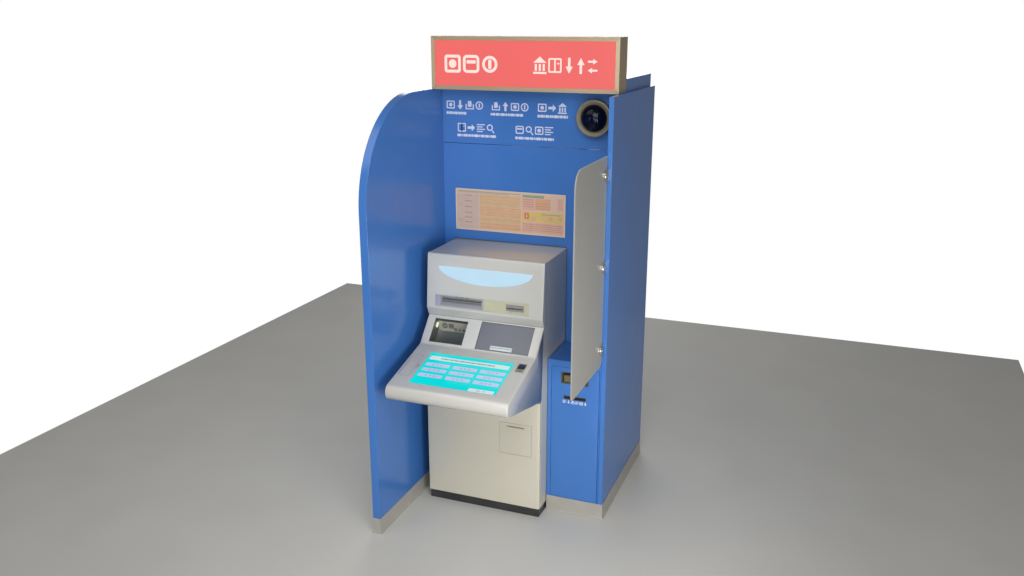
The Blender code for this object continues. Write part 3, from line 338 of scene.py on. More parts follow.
class Art:
    """Thin or thick shapes on one panel, gathered into one piece."""

    def __init__(self, panel, low, high, key):
        self.panel = panel
        self.low = low
        self.high = high
        self.bm = bmesh.new()
        self.finishes = []
        self.use(key)

    def use(self, key, low=None, high=None):
        if key not in self.finishes:
            self.finishes.append(key)
        self.index = self.finishes.index(key)
        self.low = self.low if low is None else low
        self.high = self.high if high is None else high
        return self

    def layer(self, outline, h):
        return [self.bm.verts.new(self.panel.at(x, s, h)) for x, s in outline]

    def wall(self, first, second):
        for here in range(len(first)):
            after = (here + 1) % len(first)
            face = self.bm.faces.new((first[here], first[after], second[after], second[here]))
            face.material_index = self.index

    def plate(self, outline):
        low = self.layer(outline, self.low)
        high = self.layer(outline, self.high)
        for loop in (low, high):
            self.bm.faces.new(loop).material_index = self.index
        self.wall(low, high)
        return self

    def ring(self, outer, inner):
        loops = [self.layer(outer, self.low), self.layer(outer, self.high),
                 self.layer(inner, self.high), self.layer(inner, self.low)]
        for here in range(4):
            self.wall(loops[here], loops[(here + 1) % 4])
        return self

    def bar(self, x0, x1, s0, s1, radius=0.0):
        return self.plate(rounded(x0, x1, s0, s1, radius))

    def frame(self, x0, x1, s0, s1, thick, radius=0.0):
        return self.ring(rounded(x0, x1, s0, s1, radius + 0.01),
                         rounded(x0 + thick, x1 - thick, s0 + thick, s1 - thick,
                                 max(0.01, radius - thick)))

    def hoop(self, cx, cs, radius, thick):
        return self.ring(ellipse(cx, cs, radius), ellipse(cx, cs, radius - thick))

    def dome(self, cx, cs, radius, height, steps=20):
        """A screw or rivet head: a low cap standing on the panel."""
        levels = 4
        loops = []
        for level in range(levels):
            turn = math.pi / 2 * level / levels
            loops.append(self.layer(ellipse(cx, cs, radius * math.cos(turn), steps=steps),
                                    self.low + height * math.sin(turn)))
        for first, second in zip(loops, loops[1:]):
            self.wall(first, second)
        for loop in (loops[0], loops[-1]):
            self.bm.faces.new(loop).material_index = self.index
        return self

    def done(self, name, slot, body="booth", **settings):
        return settle(to_object(name, self.bm, self.finishes), body, slot, **settings)


def refine(node, width=0.0008, segments=2, key=None, edge_key=None, crisp=None):
    """A cleaner copy of a CAD node with softened edges, standing for it.

    crisp(point) is true where an edge stays as it is.
    """
    bm = bmesh.new()
    bm.from_mesh(NODES[node].data)
    bmesh.ops.remove_doubles(bm, verts=bm.verts, dist=WELD)
    bmesh.ops.dissolve_limit(bm, angle_limit=FLAT_ANGLE, verts=bm.verts, edges=bm.edges)
    weight = bm.edges.layers.float.new("bevel_weight_edge")
    for edge in bm.edges:
        middle = (edge.verts[0].co + edge.verts[1].co) / 2
        turned = len(edge.link_faces) == 2 and edge.calc_face_angle() > CORNER_ANGLE
        edge[weight] = 1.0 if turned and not (crisp and crisp(middle)) else 0.0
    for face in bm.faces:
        face.material_index = 0
        if edge_key and abs(face.normal.x) < 0.5:
            face.material_index = 1
    key = key or SLOT_OF[node]
    made = to_object(f"{node}_shell", bm, [key] + ([edge_key] if edge_key else []))
    settle(made, BODY_OF[node], SLOT_OF[node], width, segments, stands_for=(node,))
    made.modifiers["edges"].limit_method = "WEIGHT"
    return made


def refine_each(width, *nodes):
    for node in nodes:
        refine(node, width)


def lathe(name, profile, centre, axis, key, body, slot, steps=64, **settings):
    """Turned piece: profile points are (radius, along) in metres; radius 0 closes it."""
    bm = bmesh.new()
    side, up = {"X": (1, 2), "Y": (0, 2), "Z": (0, 1)}[axis]
    along = "XYZ".index(axis)
    rings = []
    for radius, place in profile:
        ring = []
        for step in range(steps if radius > 0 else 1):
            turn = math.tau * step / steps
            point = Vector(centre)
            point[along] = place
            point[side] += radius * math.cos(turn)
            point[up] += radius * math.sin(turn)
            ring.append(bm.verts.new(point))
        rings.append(ring)
    pairs = list(zip(rings, rings[1:]))
    if profile[0][0] > 0:
        pairs.append((rings[-1], rings[0]))
    for first, second in pairs:
        for step in range(steps):
            after = (step + 1) % steps
            corners = [first[step % len(first)], first[after % len(first)],
                       second[after % len(second)], second[step % len(second)]]
            bm.faces.new(list(dict.fromkeys(corners)))
    return settle(to_object(name, bm, [key]), body, slot, **settings)


# ---- pictograms ----------------------------------------------------------
def arrow(art, x, s, w, h, turn):
    """Arrow filling the cell; turn counts quarter turns from pointing down."""
    shape = [(-0.12, -0.45), (0.12, -0.45), (0.12, 0.05), (0.34, 0.05), (0, 0.45), (-0.34, 0.05),
             (-0.12, 0.05)]
    points = []
    for a, b in shape:
        for _ in range(turn):
            a, b = -b, a
        points.append((x + w / 2 + a * w, s + h / 2 + b * h))
    art.plate(points)


def glyph(art, kind, x, s, w, h, weight=0.10):
    """One generic pictogram in a cell whose top left corner is at x, s."""
    t = weight * min(w, h)
    if kind == "note":
        art.frame(x, x + w, s + 0.12 * h, s + 0.88 * h, t, t)
        art.plate(ellipse(x + w / 2, s + h / 2, 0.18 * h))
    elif kind == "card":
        art.frame(x, x + w, s + 0.12 * h, s + 0.88 * h, t, 1.5 * t)
        art.bar(x + 1.4 * t, x + w - 1.4 * t, s + 0.34 * h, s + 0.48 * h)
    elif kind == "coin":
        art.hoop(x + w / 2, s + h / 2, 0.46 * min(w, h), t)
        art.bar(x + w / 2 - 0.6 * t, x + w / 2 + 0.6 * t, s + 0.3 * h, s + 0.7 * h, 0.5 * t)
    elif kind == "stack":
        for row in range(4):
            art.bar(x + 0.08 * w * (row % 2), x + w - 0.08 * w * ((row + 1) % 2),
                    s + (0.12 + 0.2 * row) * h, s + (0.26 + 0.2 * row) * h, t)
    elif kind in ("down", "left", "up", "right"):
        arrow(art, x, s, w, h, ("down", "left", "up", "right").index(kind))
    elif kind == "tray":
        art.plate([(x, s + 0.4 * h), (x + t, s + 0.4 * h), (x + t, s + 0.8 * h),
                   (x + w - t, s + 0.8 * h), (x + w - t, s + 0.4 * h), (x + w, s + 0.4 * h),
                   (x + w, s + 0.9 * h), (x, s + 0.9 * h)])
        art.bar(x + 0.28 * w, x + 0.72 * w, s + 0.1 * h, s + 0.66 * h, 0.5 * t)
    elif kind == "book":
        art.frame(x, x + w / 2 + t / 2, s + 0.08 * h, s + 0.92 * h, t, t)
        art.frame(x + w / 2 - t / 2, x + w, s + 0.08 * h, s + 0.92 * h, t, t)
        art.bar(x + 0.65 * w, x + 0.82 * w, s + 0.35 * h, s + 0.43 * h)
    elif kind == "bank":
        art.plate([(x, s + 0.36 * h), (x + w / 2, s), (x + w, s + 0.36 * h)])
        for column in range(3):
            left = x + (0.12 + 0.3 * column) * w
            art.bar(left, left + 0.16 * w, s + 0.43 * h, s + 0.82 * h)
        art.bar(x, x + w, s + 0.88 * h, s + h)
    elif kind == "lens":
        art.hoop(x + 0.42 * w, s + 0.42 * h, 0.36 * min(w, h), t)
        art.plate([(x + 0.64 * w, s + 0.72 * h), (x + 0.72 * w, s + 0.64 * h),
                   (x + 0.98 * w, s + 0.9 * h), (x + 0.9 * w, s + 0.98 * h)])
    elif kind == "lines":
        for row in range(4):
            art.bar(x, x + w * (1.0 if row % 2 == 0 else 0.72), s + (0.12 + 0.22 * row) * h,
                    s + (0.22 + 0.22 * row) * h, 0.4 * t)
    elif kind == "swap":
        arrow(art, x, s + 0.02 * h, w, 0.46 * h, 3)
        arrow(art, x, s + 0.52 * h, w, 0.46 * h, 1)


def glyph_row(art, kinds, x0, x1, s0, s1, gap=0.16, weight=0.10):
    pitch = (x1 - x0) / len(kinds)
    for number, kind in enumerate(kinds):
        left = x0 + pitch * (number + gap / 2)
        glyph(art, kind, left, s0, pitch * (1 - gap), s1 - s0, weight)


def broken_bar(art, x0, x1, s0, s1, parts=7):
    """A row of short bars of uneven length, in place of small print."""
    widths = [1.0 + 0.6 * math.sin(2.4 * number + x0 * 0.11) for number in range(parts)]
    gap = 0.12 * (x1 - x0) / parts
    scale = (x1 - x0 - gap * (parts - 1)) / sum(widths)
    place = x0
    for width in widths:
        art.bar(place, place + width * scale, s0, s1, 0.3 * (s1 - s0))
        place += width * scale + gap


# ---- booth ---------------------------------------------------------------
def booth():
    low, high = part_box("left_side_panel")
    face = Panel((high.x, low.y, high.z), right=(0, 1, 0))
    thick, height = span("left_side_panel")
    depth = (high.y - low.y) * 1000
    corner = 500.0    # radius of the panel's big front corner
    steps = 72
    outline = []
    for step in range(steps + 1):
        turn = math.pi / 2 * step / steps
        outline.append((corner - corner * math.cos(turn), corner - corner * math.sin(turn)))
    outline += [(depth, 0), (depth, height), (0, height)]
    side = Art(face, -thick, 0, "blue_laminate").plate(outline)
    side.done("left_side_panel_shell", "blue_laminate", bevel=0.0018, segments=3,
              stands_for=("left_side_panel",))
    refine_each(0.0006, "right_side_panel", "surround_panel")
    refine("header_panel", 0.0008)
    refine("service_hood", 0.0018, 3)
    refine_each(0.0005, "left_skirting", "right_skirting")
    fixing_caps()


def fixing_caps():
    """Push-in caps over the screws that hold the side panels together."""
    for node, outward in (("left_side_panel", -1), ("right_side_panel", 1)):
        low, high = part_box(node)
        near = (high.x if outward > 0 else low.x, high.y, high.z)
        wall = Panel(near, right=(0, outward, 0))
        caps = Art(wall, -0.2, 0.6, "blue_door")
        for s in (300, 1050, 1800):
            for x in (30, 500):
                caps.plate(ellipse(-outward * x, s, 6.5))
        caps.done(f"{node}_caps", "blue_laminate", bevel=0.0003, segments=1)


def carve(made, art):
    """Cut an Art's shapes out of a piece for good."""
    cutter = to_object("cutter", art.bm, [])
    step = made.modifiers.new("openings", "BOOLEAN")
    step.solver = "EXACT"
    step.object = cutter
    made.modifiers.move(len(made.modifiers) - 1, 0)
    edges = made.modifiers["edges"]
    edges.show_viewport = False
    graph = bpy.context.evaluated_depsgraph_get()
    graph.update()
    carved = bpy.data.meshes.new_from_object(made.evaluated_get(graph))
    made.modifiers.remove(step)
    edges.show_viewport = True
    carved.shade_smooth()
    carved.set_sharp_from_angle(angle=math.radians(SHARP_ANGLE))
    made.data = carved
    bpy.data.objects.remove(cutter)


def rear():
    door = refine("rear_door", 0.0010, key="blue_door")
    refine("rear_door_lock", 0.0004)
    low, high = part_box("rear_door")
    thick = (high.y - low.y) * 1000
    slots = Art(back_of("rear_door"), -thick - 5, 5, "slot_black")
    for top in (90, 1760):
        for x0 in (155, 385, 615):
            for row in range(6):
                s0 = top + 17 * row
                slots.bar(x0, x0 + 170, s0, s0 + 7, 3.4)
    carve(door, slots)
    lock_low, lock_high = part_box("rear_door_lock")
    middle = (lock_low + lock_high) / 2
    ring = [(0.0155, high.y - 0.0012), (0.0195, high.y - 0.0012), (0.0195, high.y - 0.0002),
            (0.0188, high.y), (0.0160, high.y), (0.0155, high.y - 0.0004)]
    barrel_x = lock_high.x - 0.0145 if lock_high.x - middle.x < 0.02 else middle.x
    lathe("rear_lock_rose", ring, (barrel_x, 0, middle.z), "Y", "satin_steel", "rear_door",
          "satin_steel", steps=48)


def sign():
    refine("sign_frame", 0.0012, 3)
    front = front_of("sign_frame")
    width, height = span("sign_frame")
    border = 19.5
    gap = 0.35    # the open mitre between two trims
    trims = Art(front, -0.2, 0.8, "sign_metal")
    left, right, below = border + gap, width - border - gap, height - border - gap
    trims.plate([(gap, 0), (width - gap, 0), (right, border), (left, border)])
    trims.plate([(left, height - border), (right, height - border), (width - gap, height),
                 (gap, height)])
    # The upright trims take the lighter copy of the metal: painted light.
    trims.use("sign_metal_upright_painted_lighter")
    trims.plate([(0, gap), (border, left), (border, below), (0, height - gap)])
    trims.plate([(width, gap), (width - border, left), (width - border, below),
                 (width, height - gap)])
    trims.done("sign_trim", "sign_metal", bevel=0.0003)
    refine_each(0.0004, "sign_face", "sign_back")
    refine("sign_lamp_bar", 0.0015)
    marks = Art(front, -4.4, -3.6, "sign_white")
    glyph_row(marks, ["note", "card", "coin"], 64, 358, 74, 186, 0.12, 0.16)
    glyph_row(marks, ["bank", "book"], 526, 676, 90, 170, 0.12, 0.12)
    glyph_row(marks, ["down", "up", "swap"], 680, 850, 90, 170, 0.10, 0.14)
    marks.done("sign_marks", "sign_face", bevel=0.0002, segments=1)
    screws = Art(back_of("sign_frame"), -0.3, 1.0, "satin_steel")
    for x in (26, width / 3, 2 * width / 3, width - 26):
        for s in (16, height - 16):
            screws.dome(x, s, 4.2, 1.6)
    screws.done("sign_back_screws", "satin_steel")


# x and s limits of a row of pictograms and of the bars under it, then the pictograms
HEADER_GROUPS = [
    ((20, 230, 58, 110), (22, 132, 117, 135), ["note", "down", "tray", "coin"]),
    ((268, 472, 60, 110), (265, 438, 117, 134), ["tray", "up", "note", "coin"]),
    ((512, 668, 58, 110), (514, 670, 117, 135), ["note", "right", "bank"]),
    ((80, 290, 170, 222), (80, 293, 228, 245), ["book", "right", "lines", "lens"]),
    ((395, 600, 170, 222), (397, 600, 229, 246), ["card", "lens", "note", "lines"]),
]


def header():
    low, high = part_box("header_panel")
    face = Panel((low.x, low.y, high.z + 0.0003))
    marks = Art(face, -0.1, 0.35, "header_white")
    for big, small, kinds in HEADER_GROUPS:
        glyph_row(marks, kinds, *big, 0.14, 0.13)
        x0, x1, s0, s1 = small
        broken_bar(marks, x0, x1, s0 + 1, s1 - 3, 11)
    marks.done("header_marks", "blue_laminate")


def waves(art, x0, x1, s0, s1, lift, phase, steps=28):
    """A band whose two long edges run in waves."""
    top = []
    bottom = []
    for step in range(steps + 1):
        x = x0 + (x1 - x0) * step / steps
        swing = lift * math.sin(math.tau * 2.5 * step / steps + phase)
        top.append((x, s0 + swing))
        bottom.append((x, s1 + swing))
    art.plate(top + bottom[::-1])


def notice():
    refine("notice_board", 0.0005)
    face = front_of("notice_board")
    width, height = span("notice_board")
    inset = 0.6
    art = Art(face, -0.1, 0.10, "notice_border")
    art.frame(inset, width - inset, inset, height - inset, 4)
    art.use("print_green", high=0.14).bar(12, 360, 11, 15, 1).bar(372, 487, 12, 25, 1)
    art.use("print_line").bar(18, 300, 18, 20)
    art.use("print_grey").bar(8, 133, 26, 206, 2)
    art.use("print_tan").bar(138, 362, 24, 84, 1).bar(138, 362, 138, 170, 1)
    art.use("print_orange").bar(138, 362, 86, 136, 1).bar(138, 362, 172, 202, 1)
    art.use("print_pink").bar(370, 437, 28, 90, 1).bar(558, 590, 20, 84, 1)
    art.bar(368, 590, 152, 204, 1)
    art.use("print_orange").bar(440, 522, 28, 86, 1)
    art.use("print_yellow").bar(368, 588, 97, 148, 2)
    art.use("print_orange", high=0.2)
    for number, s in enumerate((32, 48, 64)):
        waves(art, 140, 360, s, s + 6, 3.0, 0.9 * number)
    waves(art, 140, 360, 148, 156, 2.5, 0.4)
    art.use("print_tan")
    for number, s in enumerate((94, 108, 122)):
        waves(art, 140, 360, s, s + 5, 2.5, 1.3 * number)
    waves(art, 140, 360, 182, 188, 2.0, 2.2)
    art.use("print_line")
    for s in (30, 60, 90, 120, 145, 170):
        broken_bar(art, 52, 92, s + 2, s + 7, 4)
    for s in (75, 160):
        art.frame(18, 40, s, s + 14, 1.6, 2)
    for s in (52, 65, 78):
        art.bar(442, 520, s, s + 1.6)
    for s in (34, 46, 58, 70):
        broken_bar(art, 376, 430, s, s + 3, 5)
        broken_bar(art, 562, 586, s - 4, s - 2, 3)
    for s in (160, 170, 180, 190):
        broken_bar(art, 376, 584, s, s + 2.4, 12)
    art.use("print_red").bar(382, 407, 103, 135, 2)
    art.use("print_pink").plate(ellipse(435, 129, 10, 16))
    art.use("print_green").bar(475, 572, 105, 109, 1)
    art.use("print_orange").bar(475, 585, 117, 134, 1)
    art.use("notice_border", high=0.26)
    glyph(art, "down", 387, 108, 15, 22)
    glyph(art, "lines", 480, 119, 40, 13)
    glyph(art, "note", 534, 117, 34, 17)
    art.done("notice_marks", "notice_print")
    corners = Art(face, 0.0, 0.5, "chrome")
    for x in (9, width - 9):
        for s in (9, height - 9):
            corners.dome(x, s, 3.0, 1.1)
    corners.done("notice_studs", "notice_print")


# ---- camera and privacy screen -------------------------------------------
def camera_unit():
    low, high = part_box("camera_housing")
    dome_low, dome_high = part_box("camera_dome")
    middle = (low + high) / 2
    outer = (high.x - low.x) / 2
    radius = (dome_high.x - dome_low.x) / 2
    mouth = radius + 0.0006
    front, back = low.y, high.y
    cup = [(0.016, back), (outer - 0.003, back), (outer - 0.003, front + 0.017),
           (outer - 0.001, front + 0.015), (outer, front + 0.0125), (outer, front + 0.0045),
           (outer - 0.0012, front + 0.0016), (outer - 0.004, front), (outer - 0.0085, front),
           (outer - 0.0100, front + 0.0006), (mouth + 0.0012, front + 0.0062),
           (mouth, front + 0.0080), (mouth, front + 0.018), (mouth - 0.004, front + 0.018),
           (mouth - 0.004, back - 0.005), (0.016, back - 0.005)]
    lathe("camera_cup", cup, middle, "Y", "bronze_ring", "booth", "bronze_ring", steps=96,
          stands_for=("camera_housing",))
    rim = dome_high.y
    lip = 0.003
    bulge = rim - lip - dome_low.y
    shell = 0.0022
    profile = []
    inner = []
    steps = 18
    for step in range(steps + 1):
        turn = math.pi / 2 * step / steps
        profile.append((radius * math.sin(turn), rim - lip - bulge * math.cos(turn)))
        inner.append(((radius - shell) * math.sin(turn),
                      rim - lip - (bulge - shell) * math.cos(turn)))
    profile += [(radius, rim), (radius - shell, rim)] + inner[::-1]
    lathe("camera_bubble", profile, middle, "Y", "smoked_dome", "booth", "black_glass", steps=96,
          stands_for=("camera_dome",))
    refine("camera_module", 0.0012, 3, key="module_dark")
    eye_front()


def eye_front():
    """Lens and a ring of dots on the camera's eye, which looks slightly down; the glowing lens and
    the glowing green and white dots are painted glints, not lamps.
    """
    tilt = math.radians(14)
    out = Vector((0, -math.cos(tilt), -math.sin(tilt)))
    down = Vector((0, math.sin(tilt), -math.cos(tilt)))
    base_low, base_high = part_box("camera_housing")
    middle = (base_low + base_high) / 2
    anchor = Vector((middle.x, base_high.y - 0.056, middle.z - 0.002)) + out * 0.016
    face = Panel(anchor, down=down)
    face.out = out
    lens = Art(face, -0.5, 1.2, "module_dark").hoop(0, 0, 12.5, 2.5)
    # The blue lens glows: a painted reflection.
    lens.use("blue_lens_painted_glow", -0.5, 0.4).plate(ellipse(0, 0, 9.8))
    lens.use("black_glass", 0.3, 1.0).hoop(0, 0, 7.0, 2.6)
    # Ten dots round the lens: the glowing green and white ones are painted glints, the rest are
    # chrome.
    for number in range(10):
        turn = math.tau * number / 10
        lens.use(("painted_glint_green", "painted_glint_white", "chrome", "chrome", "chrome")[number % 5], -0.4, 0.7)
        lens.plate(ellipse(16.4 * math.cos(turn), 16.4 * math.sin(turn), 2.0, steps=14))
    lens.done("camera_eye", "dark_grey_plastic", "camera_module")


def privacy_screen():
    # The screen's edge faces take the glowing edge finish: a painted highlight.
    refine("privacy_screen", 0.0009, 3, edge_key="acrylic_edge_painted_glow")
    for number in (1, 2, 3):
        node = f"screen_clamp_{number}"
        refine(node, 0.0009)
        low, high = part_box(node)
        for name, x, side in (("left", low.x, -1), ("right", high.x, 1)):
            head = [(0.0, 0.0026), (0.0030, 0.0024), (0.0062, 0.0016), (0.0078, 0.0004),
                    (0.0080, -0.0003), (0.0, -0.0003)]
            screw = [(radius, x + side * rise) for radius, rise in head]
            spot = Vector((0, (low.y + high.y) / 2 + 0.001, (low.z + high.z) / 2))
            lathe(f"clamp_screw_{number}_{name}", screw, spot, "X", "satin_steel", "booth", "chrome",
                  steps=32)
        plane = (low.x + high.x) / 2
        liner_face = Panel((plane, low.y + 0.004, high.z - 0.006), right=(0, 1, 0))
        liner = Art(liner_face, 3.4, 4.6, "ivory")
        span_y = (high.y - low.y) * 1000 - 6
        span_z = (high.z - low.z) * 1000 - 12
        liner.plate(ellipse(span_y / 2, span_z / 2, span_y / 2 - 2, span_z / 2))
        liner.done(f"clamp_pad_{number}", "chrome")


# ---- bin cabinet ---------------------------------------------------------
def bin_unit():
    refine("bin_cabinet", 0.0012)
    refine("bin_door", 0.0009, key="blue_door")
    refine("envelope_pocket", 0.0005)
    refine("waste_pail", 0.0010)
    low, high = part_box("envelope_pocket")
    door_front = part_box("bin_door")[0].y
    face = Panel((low.x, door_front, high.z))
    width, height = span("envelope_pocket")
    trim = Art(face, -0.6, 1.2, "module_dark")
    trim.frame(-3.6, width + 3.6, -3.6, height + 3.6, 3.0, 2.5)
    trim.done("bin_window_trim", "brown_plastic", "bin_door", bevel=0.0003)
    stack = Art(front_of("envelope_pocket"), -56, -10, "envelope_paper")
    for number in range(7):
        start = -54 + 6.4 * number
        lean = 1.1 * math.sin(1.7 * number)
        stack.use("envelope_paper" if number % 2 else "envelope_brown", start, start + 4.6)
        stack.bar(9 + lean, width - 9 + lean, 25 - 0.8 * number + 1.4 * math.sin(2.3 * number),
                  height - 3.0, 0.8)
    stack.done("envelope_stack", "brown_plastic", "bin_door")
    slot_panel = Panel((0.2985, door_front, 0.643))
    liner = Art(slot_panel, -16.0, 0.8, "module_dark")
    liner.frame(-3.4, 112.4, -3.4, 16.4, 3.6, 2.0)
    liner.use("slot_black", -16.4, -13.0).bar(0, 109, 0, 13)
    liner.done("paper_slot_liner", "blue_laminate", "bin_door", bevel=0.0003)
    low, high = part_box("bin_cabinet")
    marks = Art(Panel((low.x, door_front, high.z)), -0.1, 0.35, "label_white")
    kinds = ["lines", "down", "tray", "lines", "note", "down"]
    glyph_row(marks, kinds, 78, 207, 203, 223, 0.12, 0.13)
    marks.done("bin_marks", "blue_laminate", "bin_door")


# ---- machine -------------------------------------------------------------
def near_desk_bend(point):
    """The note opening ends where the desk's bend begins, so its lower edge stays crisp."""
    offset = point - MIDDLE.corner
    bend, reach, opening_left = 0.155, 0.012, 0.25
    return (abs(offset.dot(MIDDLE.down) - bend) < reach
            and offset.dot(MIDDLE.right) > opening_left)


def machine_case():
    refine_each(0.0008, "machine_cabinet", "rear_cover", "plinth")
    refine_each(0.0010, *[f"levelling_foot_{number}" for number in (1, 2, 3, 4)])
    refine("front_door", 0.0007)
    refine_each(0.0004, "maintenance_flap", "key_switch")
    refine("upper_fascia", 0.0009)
    refine("console", 0.0009, crisp=near_desk_bend)
    width, height = span("rear_cover")
    screws = Art(back_of("rear_cover"), -0.3, 1.0, "satin_steel")
    for x in (14, width / 2, width - 14):
        for s in (14, height / 3, 2 * height / 3, height - 14):
            screws.dome(x, s, 4.0, 1.8)
    screws.done("rear_cover_screws", "warm_grey_steel", BODY_OF["rear_cover"])


def crescent_lamp(upper):
    """Slightly domed lens: rings shrink towards the middle while they rise."""
    cx, top, reach, drop = 308.0, 60.4, 247.6, 79.2
    centre_s = top + 0.42 * drop
    lens = Art(upper, 0.0, 0.0, "lamp_lens")
    steps = 72
    straight = 12
    levels = [(1.0, -4.0), (1.0, -0.5), (0.988, 0.1), (0.95, 0.7), (0.85, 1.5), (0.6, 2.5),
              (0.3, 3.0)]
    loops = []
    for scale, h in levels:
        outline = []
        for step in range(steps + 1):
            turn = math.pi * step / steps
            outline.append((cx - reach * math.cos(turn) * scale,
                            centre_s + (top + drop * math.sin(turn) - centre_s) * scale))
        for step in range(1, straight):
            outline.append((cx + reach * scale * (1 - 2 * step / straight),
                            centre_s + (top - centre_s) * scale))
        loops.append(lens.layer(outline, h))
    for loop in (loops[0], loops[-1]):
        lens.bm.faces.new(loop)
    for first, second in zip(loops, loops[1:]):
        lens.wall(first, second)
    made = to_object("crescent_lens_shell", lens.bm, lens.finishes)
    settle(made, BODY_OF["crescent_lens"], "lamp_lens", angle=50, stands_for=("crescent_lens",))
    # A glowing white strip along the top edge of the lens: a painted highlight standing for light
    # reflected on the domed lens.
    rim = Art(upper, 0.2, 0.9, "painted_highlight_white")
    rim.bar(cx - 150, cx - 60, top + 3.0, top + 5.4, 1.2)
    rim.bar(cx + 20, cx + 205, top + 3.0, top + 6.2, 1.4)
    rim.done("lens_painted_highlight_strip", "lamp_lens", BODY_OF["crescent_lens"])


def fascia_details(upper):
    crescent_lamp(upper)
    refine("insert_panel", 0.0004)
    refine("passbook_bezel", 0.0005, key="dark_grey_plastic")
    refine("card_bezel", 0.0006, key="margin_dark")
    body = BODY_OF["upper_fascia"]
    edge = Art(upper, -1.6, -1.2, "margin_grey").bar(44, 69.5, 206, 264.5)
    edge.done("insert_margin", "beige_insert", body)
    lips = Art(upper, -16.0, -2.0, "bezel_grey")
    lips.bar(80, 293, 229.6, 232.6, 1.0)
    lips.use("satin_steel", -14.0, -3.0).bar(80, 293, 236.0, 237.2, 0.5)
    lips.done("passbook_lips", "dark_grey_plastic", body, bevel=0.0003)
    marks = Art(upper, -1.6, -1.0, "print_dark")
    glyph_row(marks, ["book", "right", "lines"], 150, 232, 207.2, 213.2, 0.3)
    marks.use("bezel_grey", 2.4, 2.8)
    arrow(marks, 466, 220, 10, 9, 2)
    marks.use("print_line", -1.6, -1.2)
    glyph_row(marks, ["card", "right"], 436, 486, 251, 260, 0.3)
    marks.done("fascia_marks", "beige_insert", body)
    dark = Art(upper, -3.4, -2.4, "slot_black").bar(429, 512, 231.8, 239.0)
    dark.done("card_throat", "dark_grey_plastic", body)


def scoop(middle):
    """Curved dish that gathers the coins inside their tray."""
    x0, x1 = 44.6, 221.4
    profile = [(18, -52), (20, -62), (26, -69), (38, -73), (60, -74), (84, -73), (106, -68),
               (124, -58), (137, -44), (143, -30), (145, -18)]
    fine = []
    for first, second in zip(profile, profile[1:]):
        for part in range(3):
            blend = part / 3
            fine.append((first[0] + (second[0] - first[0]) * blend,
                         first[1] + (second[1] - first[1]) * blend))
    fine.append(profile[-1])
    bm = bmesh.new()
    columns = 20
    thick = 1.4
    parts = [column / columns for column in range(columns + 1)]
    across = [(x0 + (x1 - x0) * part, 8.0 * abs(2 * part - 1) ** 6) for part in parts]
    upper, lower = [[[bm.verts.new(middle.at(x, s, h + rise - sink)) for x, rise in across]
                     for s, h in fine] for sink in (0.0, thick)]
    rows = len(fine)
    for grid in (upper, lower):
        for r in range(rows - 1):
            for c in range(columns):
                bm.faces.new((grid[r][c], grid[r][c + 1], grid[r + 1][c + 1], grid[r + 1][c]))
    for r in range(rows - 1):
        for c in (0, columns):
            bm.faces.new((upper[r][c], upper[r + 1][c], lower[r + 1][c], lower[r][c]))
    for r in (0, rows - 1):
        for c in range(columns):
            bm.faces.new((upper[r][c], upper[r][c + 1], lower[r][c + 1], lower[r][c]))
    made = to_object("coin_dish", bm, ["tray_steel"])
    settle(made, "booth", "satin_steel", angle=60)


def money_pockets(middle):
    refine("coin_tray", 0.0005, key="tray_steel")
    scoop(middle)
    lamp = Art(middle, -34, -22, "lamp_warm")
    lamp.bar(45.2, 53.0, 28, 54, 2.6)
    lamp.done("coin_lamp", "satin_steel", bevel=0.0006)
    start = middle.at(44.8, 17.6, -30)
    label = Panel(start, (1, 0, 0), middle.at(44.8, 52, -73.4) - start)
    plate = Art(label, -1.2, 0.0, "bezel_grey").bar(0, 176.4, 0, 54)
    plate.use("print_dark", -0.1, 0.3)
    glyph_row(plate, ["coin", "stack"], 18, 90, 8, 40, 0.12, 0.17)
    glyph_row(plate, ["coin", "down", "tray", "right"], 84, 172, 31, 50, 0.14, 0.17)
    plate.done("coin_label", "satin_steel")
    refine("bill_pocket", 0.0005)
    refine("bill_shutter", 0.0003, key="shutter_plastic")
    refine("coin_shutter", 0.0006, key="clear_shutter")
    refine("shutter_pull", 0.0002, 1, key="pull_steel")
    grip = Art(middle, -4.6, -4.1, "pull_steel")
    grip.bar(370, 480, 134.6, 143.5, 1.2)
    grip.use("slot_black", -4.6, -4.35).bar(369, 481, 131.6, 133.4, 0.6)
    grip.done("shutter_pull_ridge", "satin_steel", "bill_shutter", bevel=0.0002, segments=1)
    gaskets = Art(middle, -4.2, -0.9, "slot_black")
    gaskets.ring(rounded(292.0, 572.0, 5.0, 156.0), rounded(293.2, 570.8, 6.4, 154.6))
    gaskets.ring(rounded(43.0, 223.0, 16.0, 147.0), rounded(44.4, 221.6, 17.4, 145.6))
    gaskets.done("opening_gaskets", "warm_grey_case")


SCREEN_CORNER = (94.3, 62.3)    # on the desk; the buttons are measured from here
BUTTON_COLUMNS = ((14, 140), (155, 281), (296, 425))
BUTTON_ROWS = ((83, 111), (127, 154), (171, 199))
BUTTON_KINDS = (("note", "down", "lines"), ("note", "up", "lines"), ("book", "lines", "right"),
                ("lens", "lines", "note"), ("swap", "lines"), ("card", "lines", "right"),
                ("coin", "down", "lines"), ("coin", "up", "lines"), ("card", "swap", "lines"))


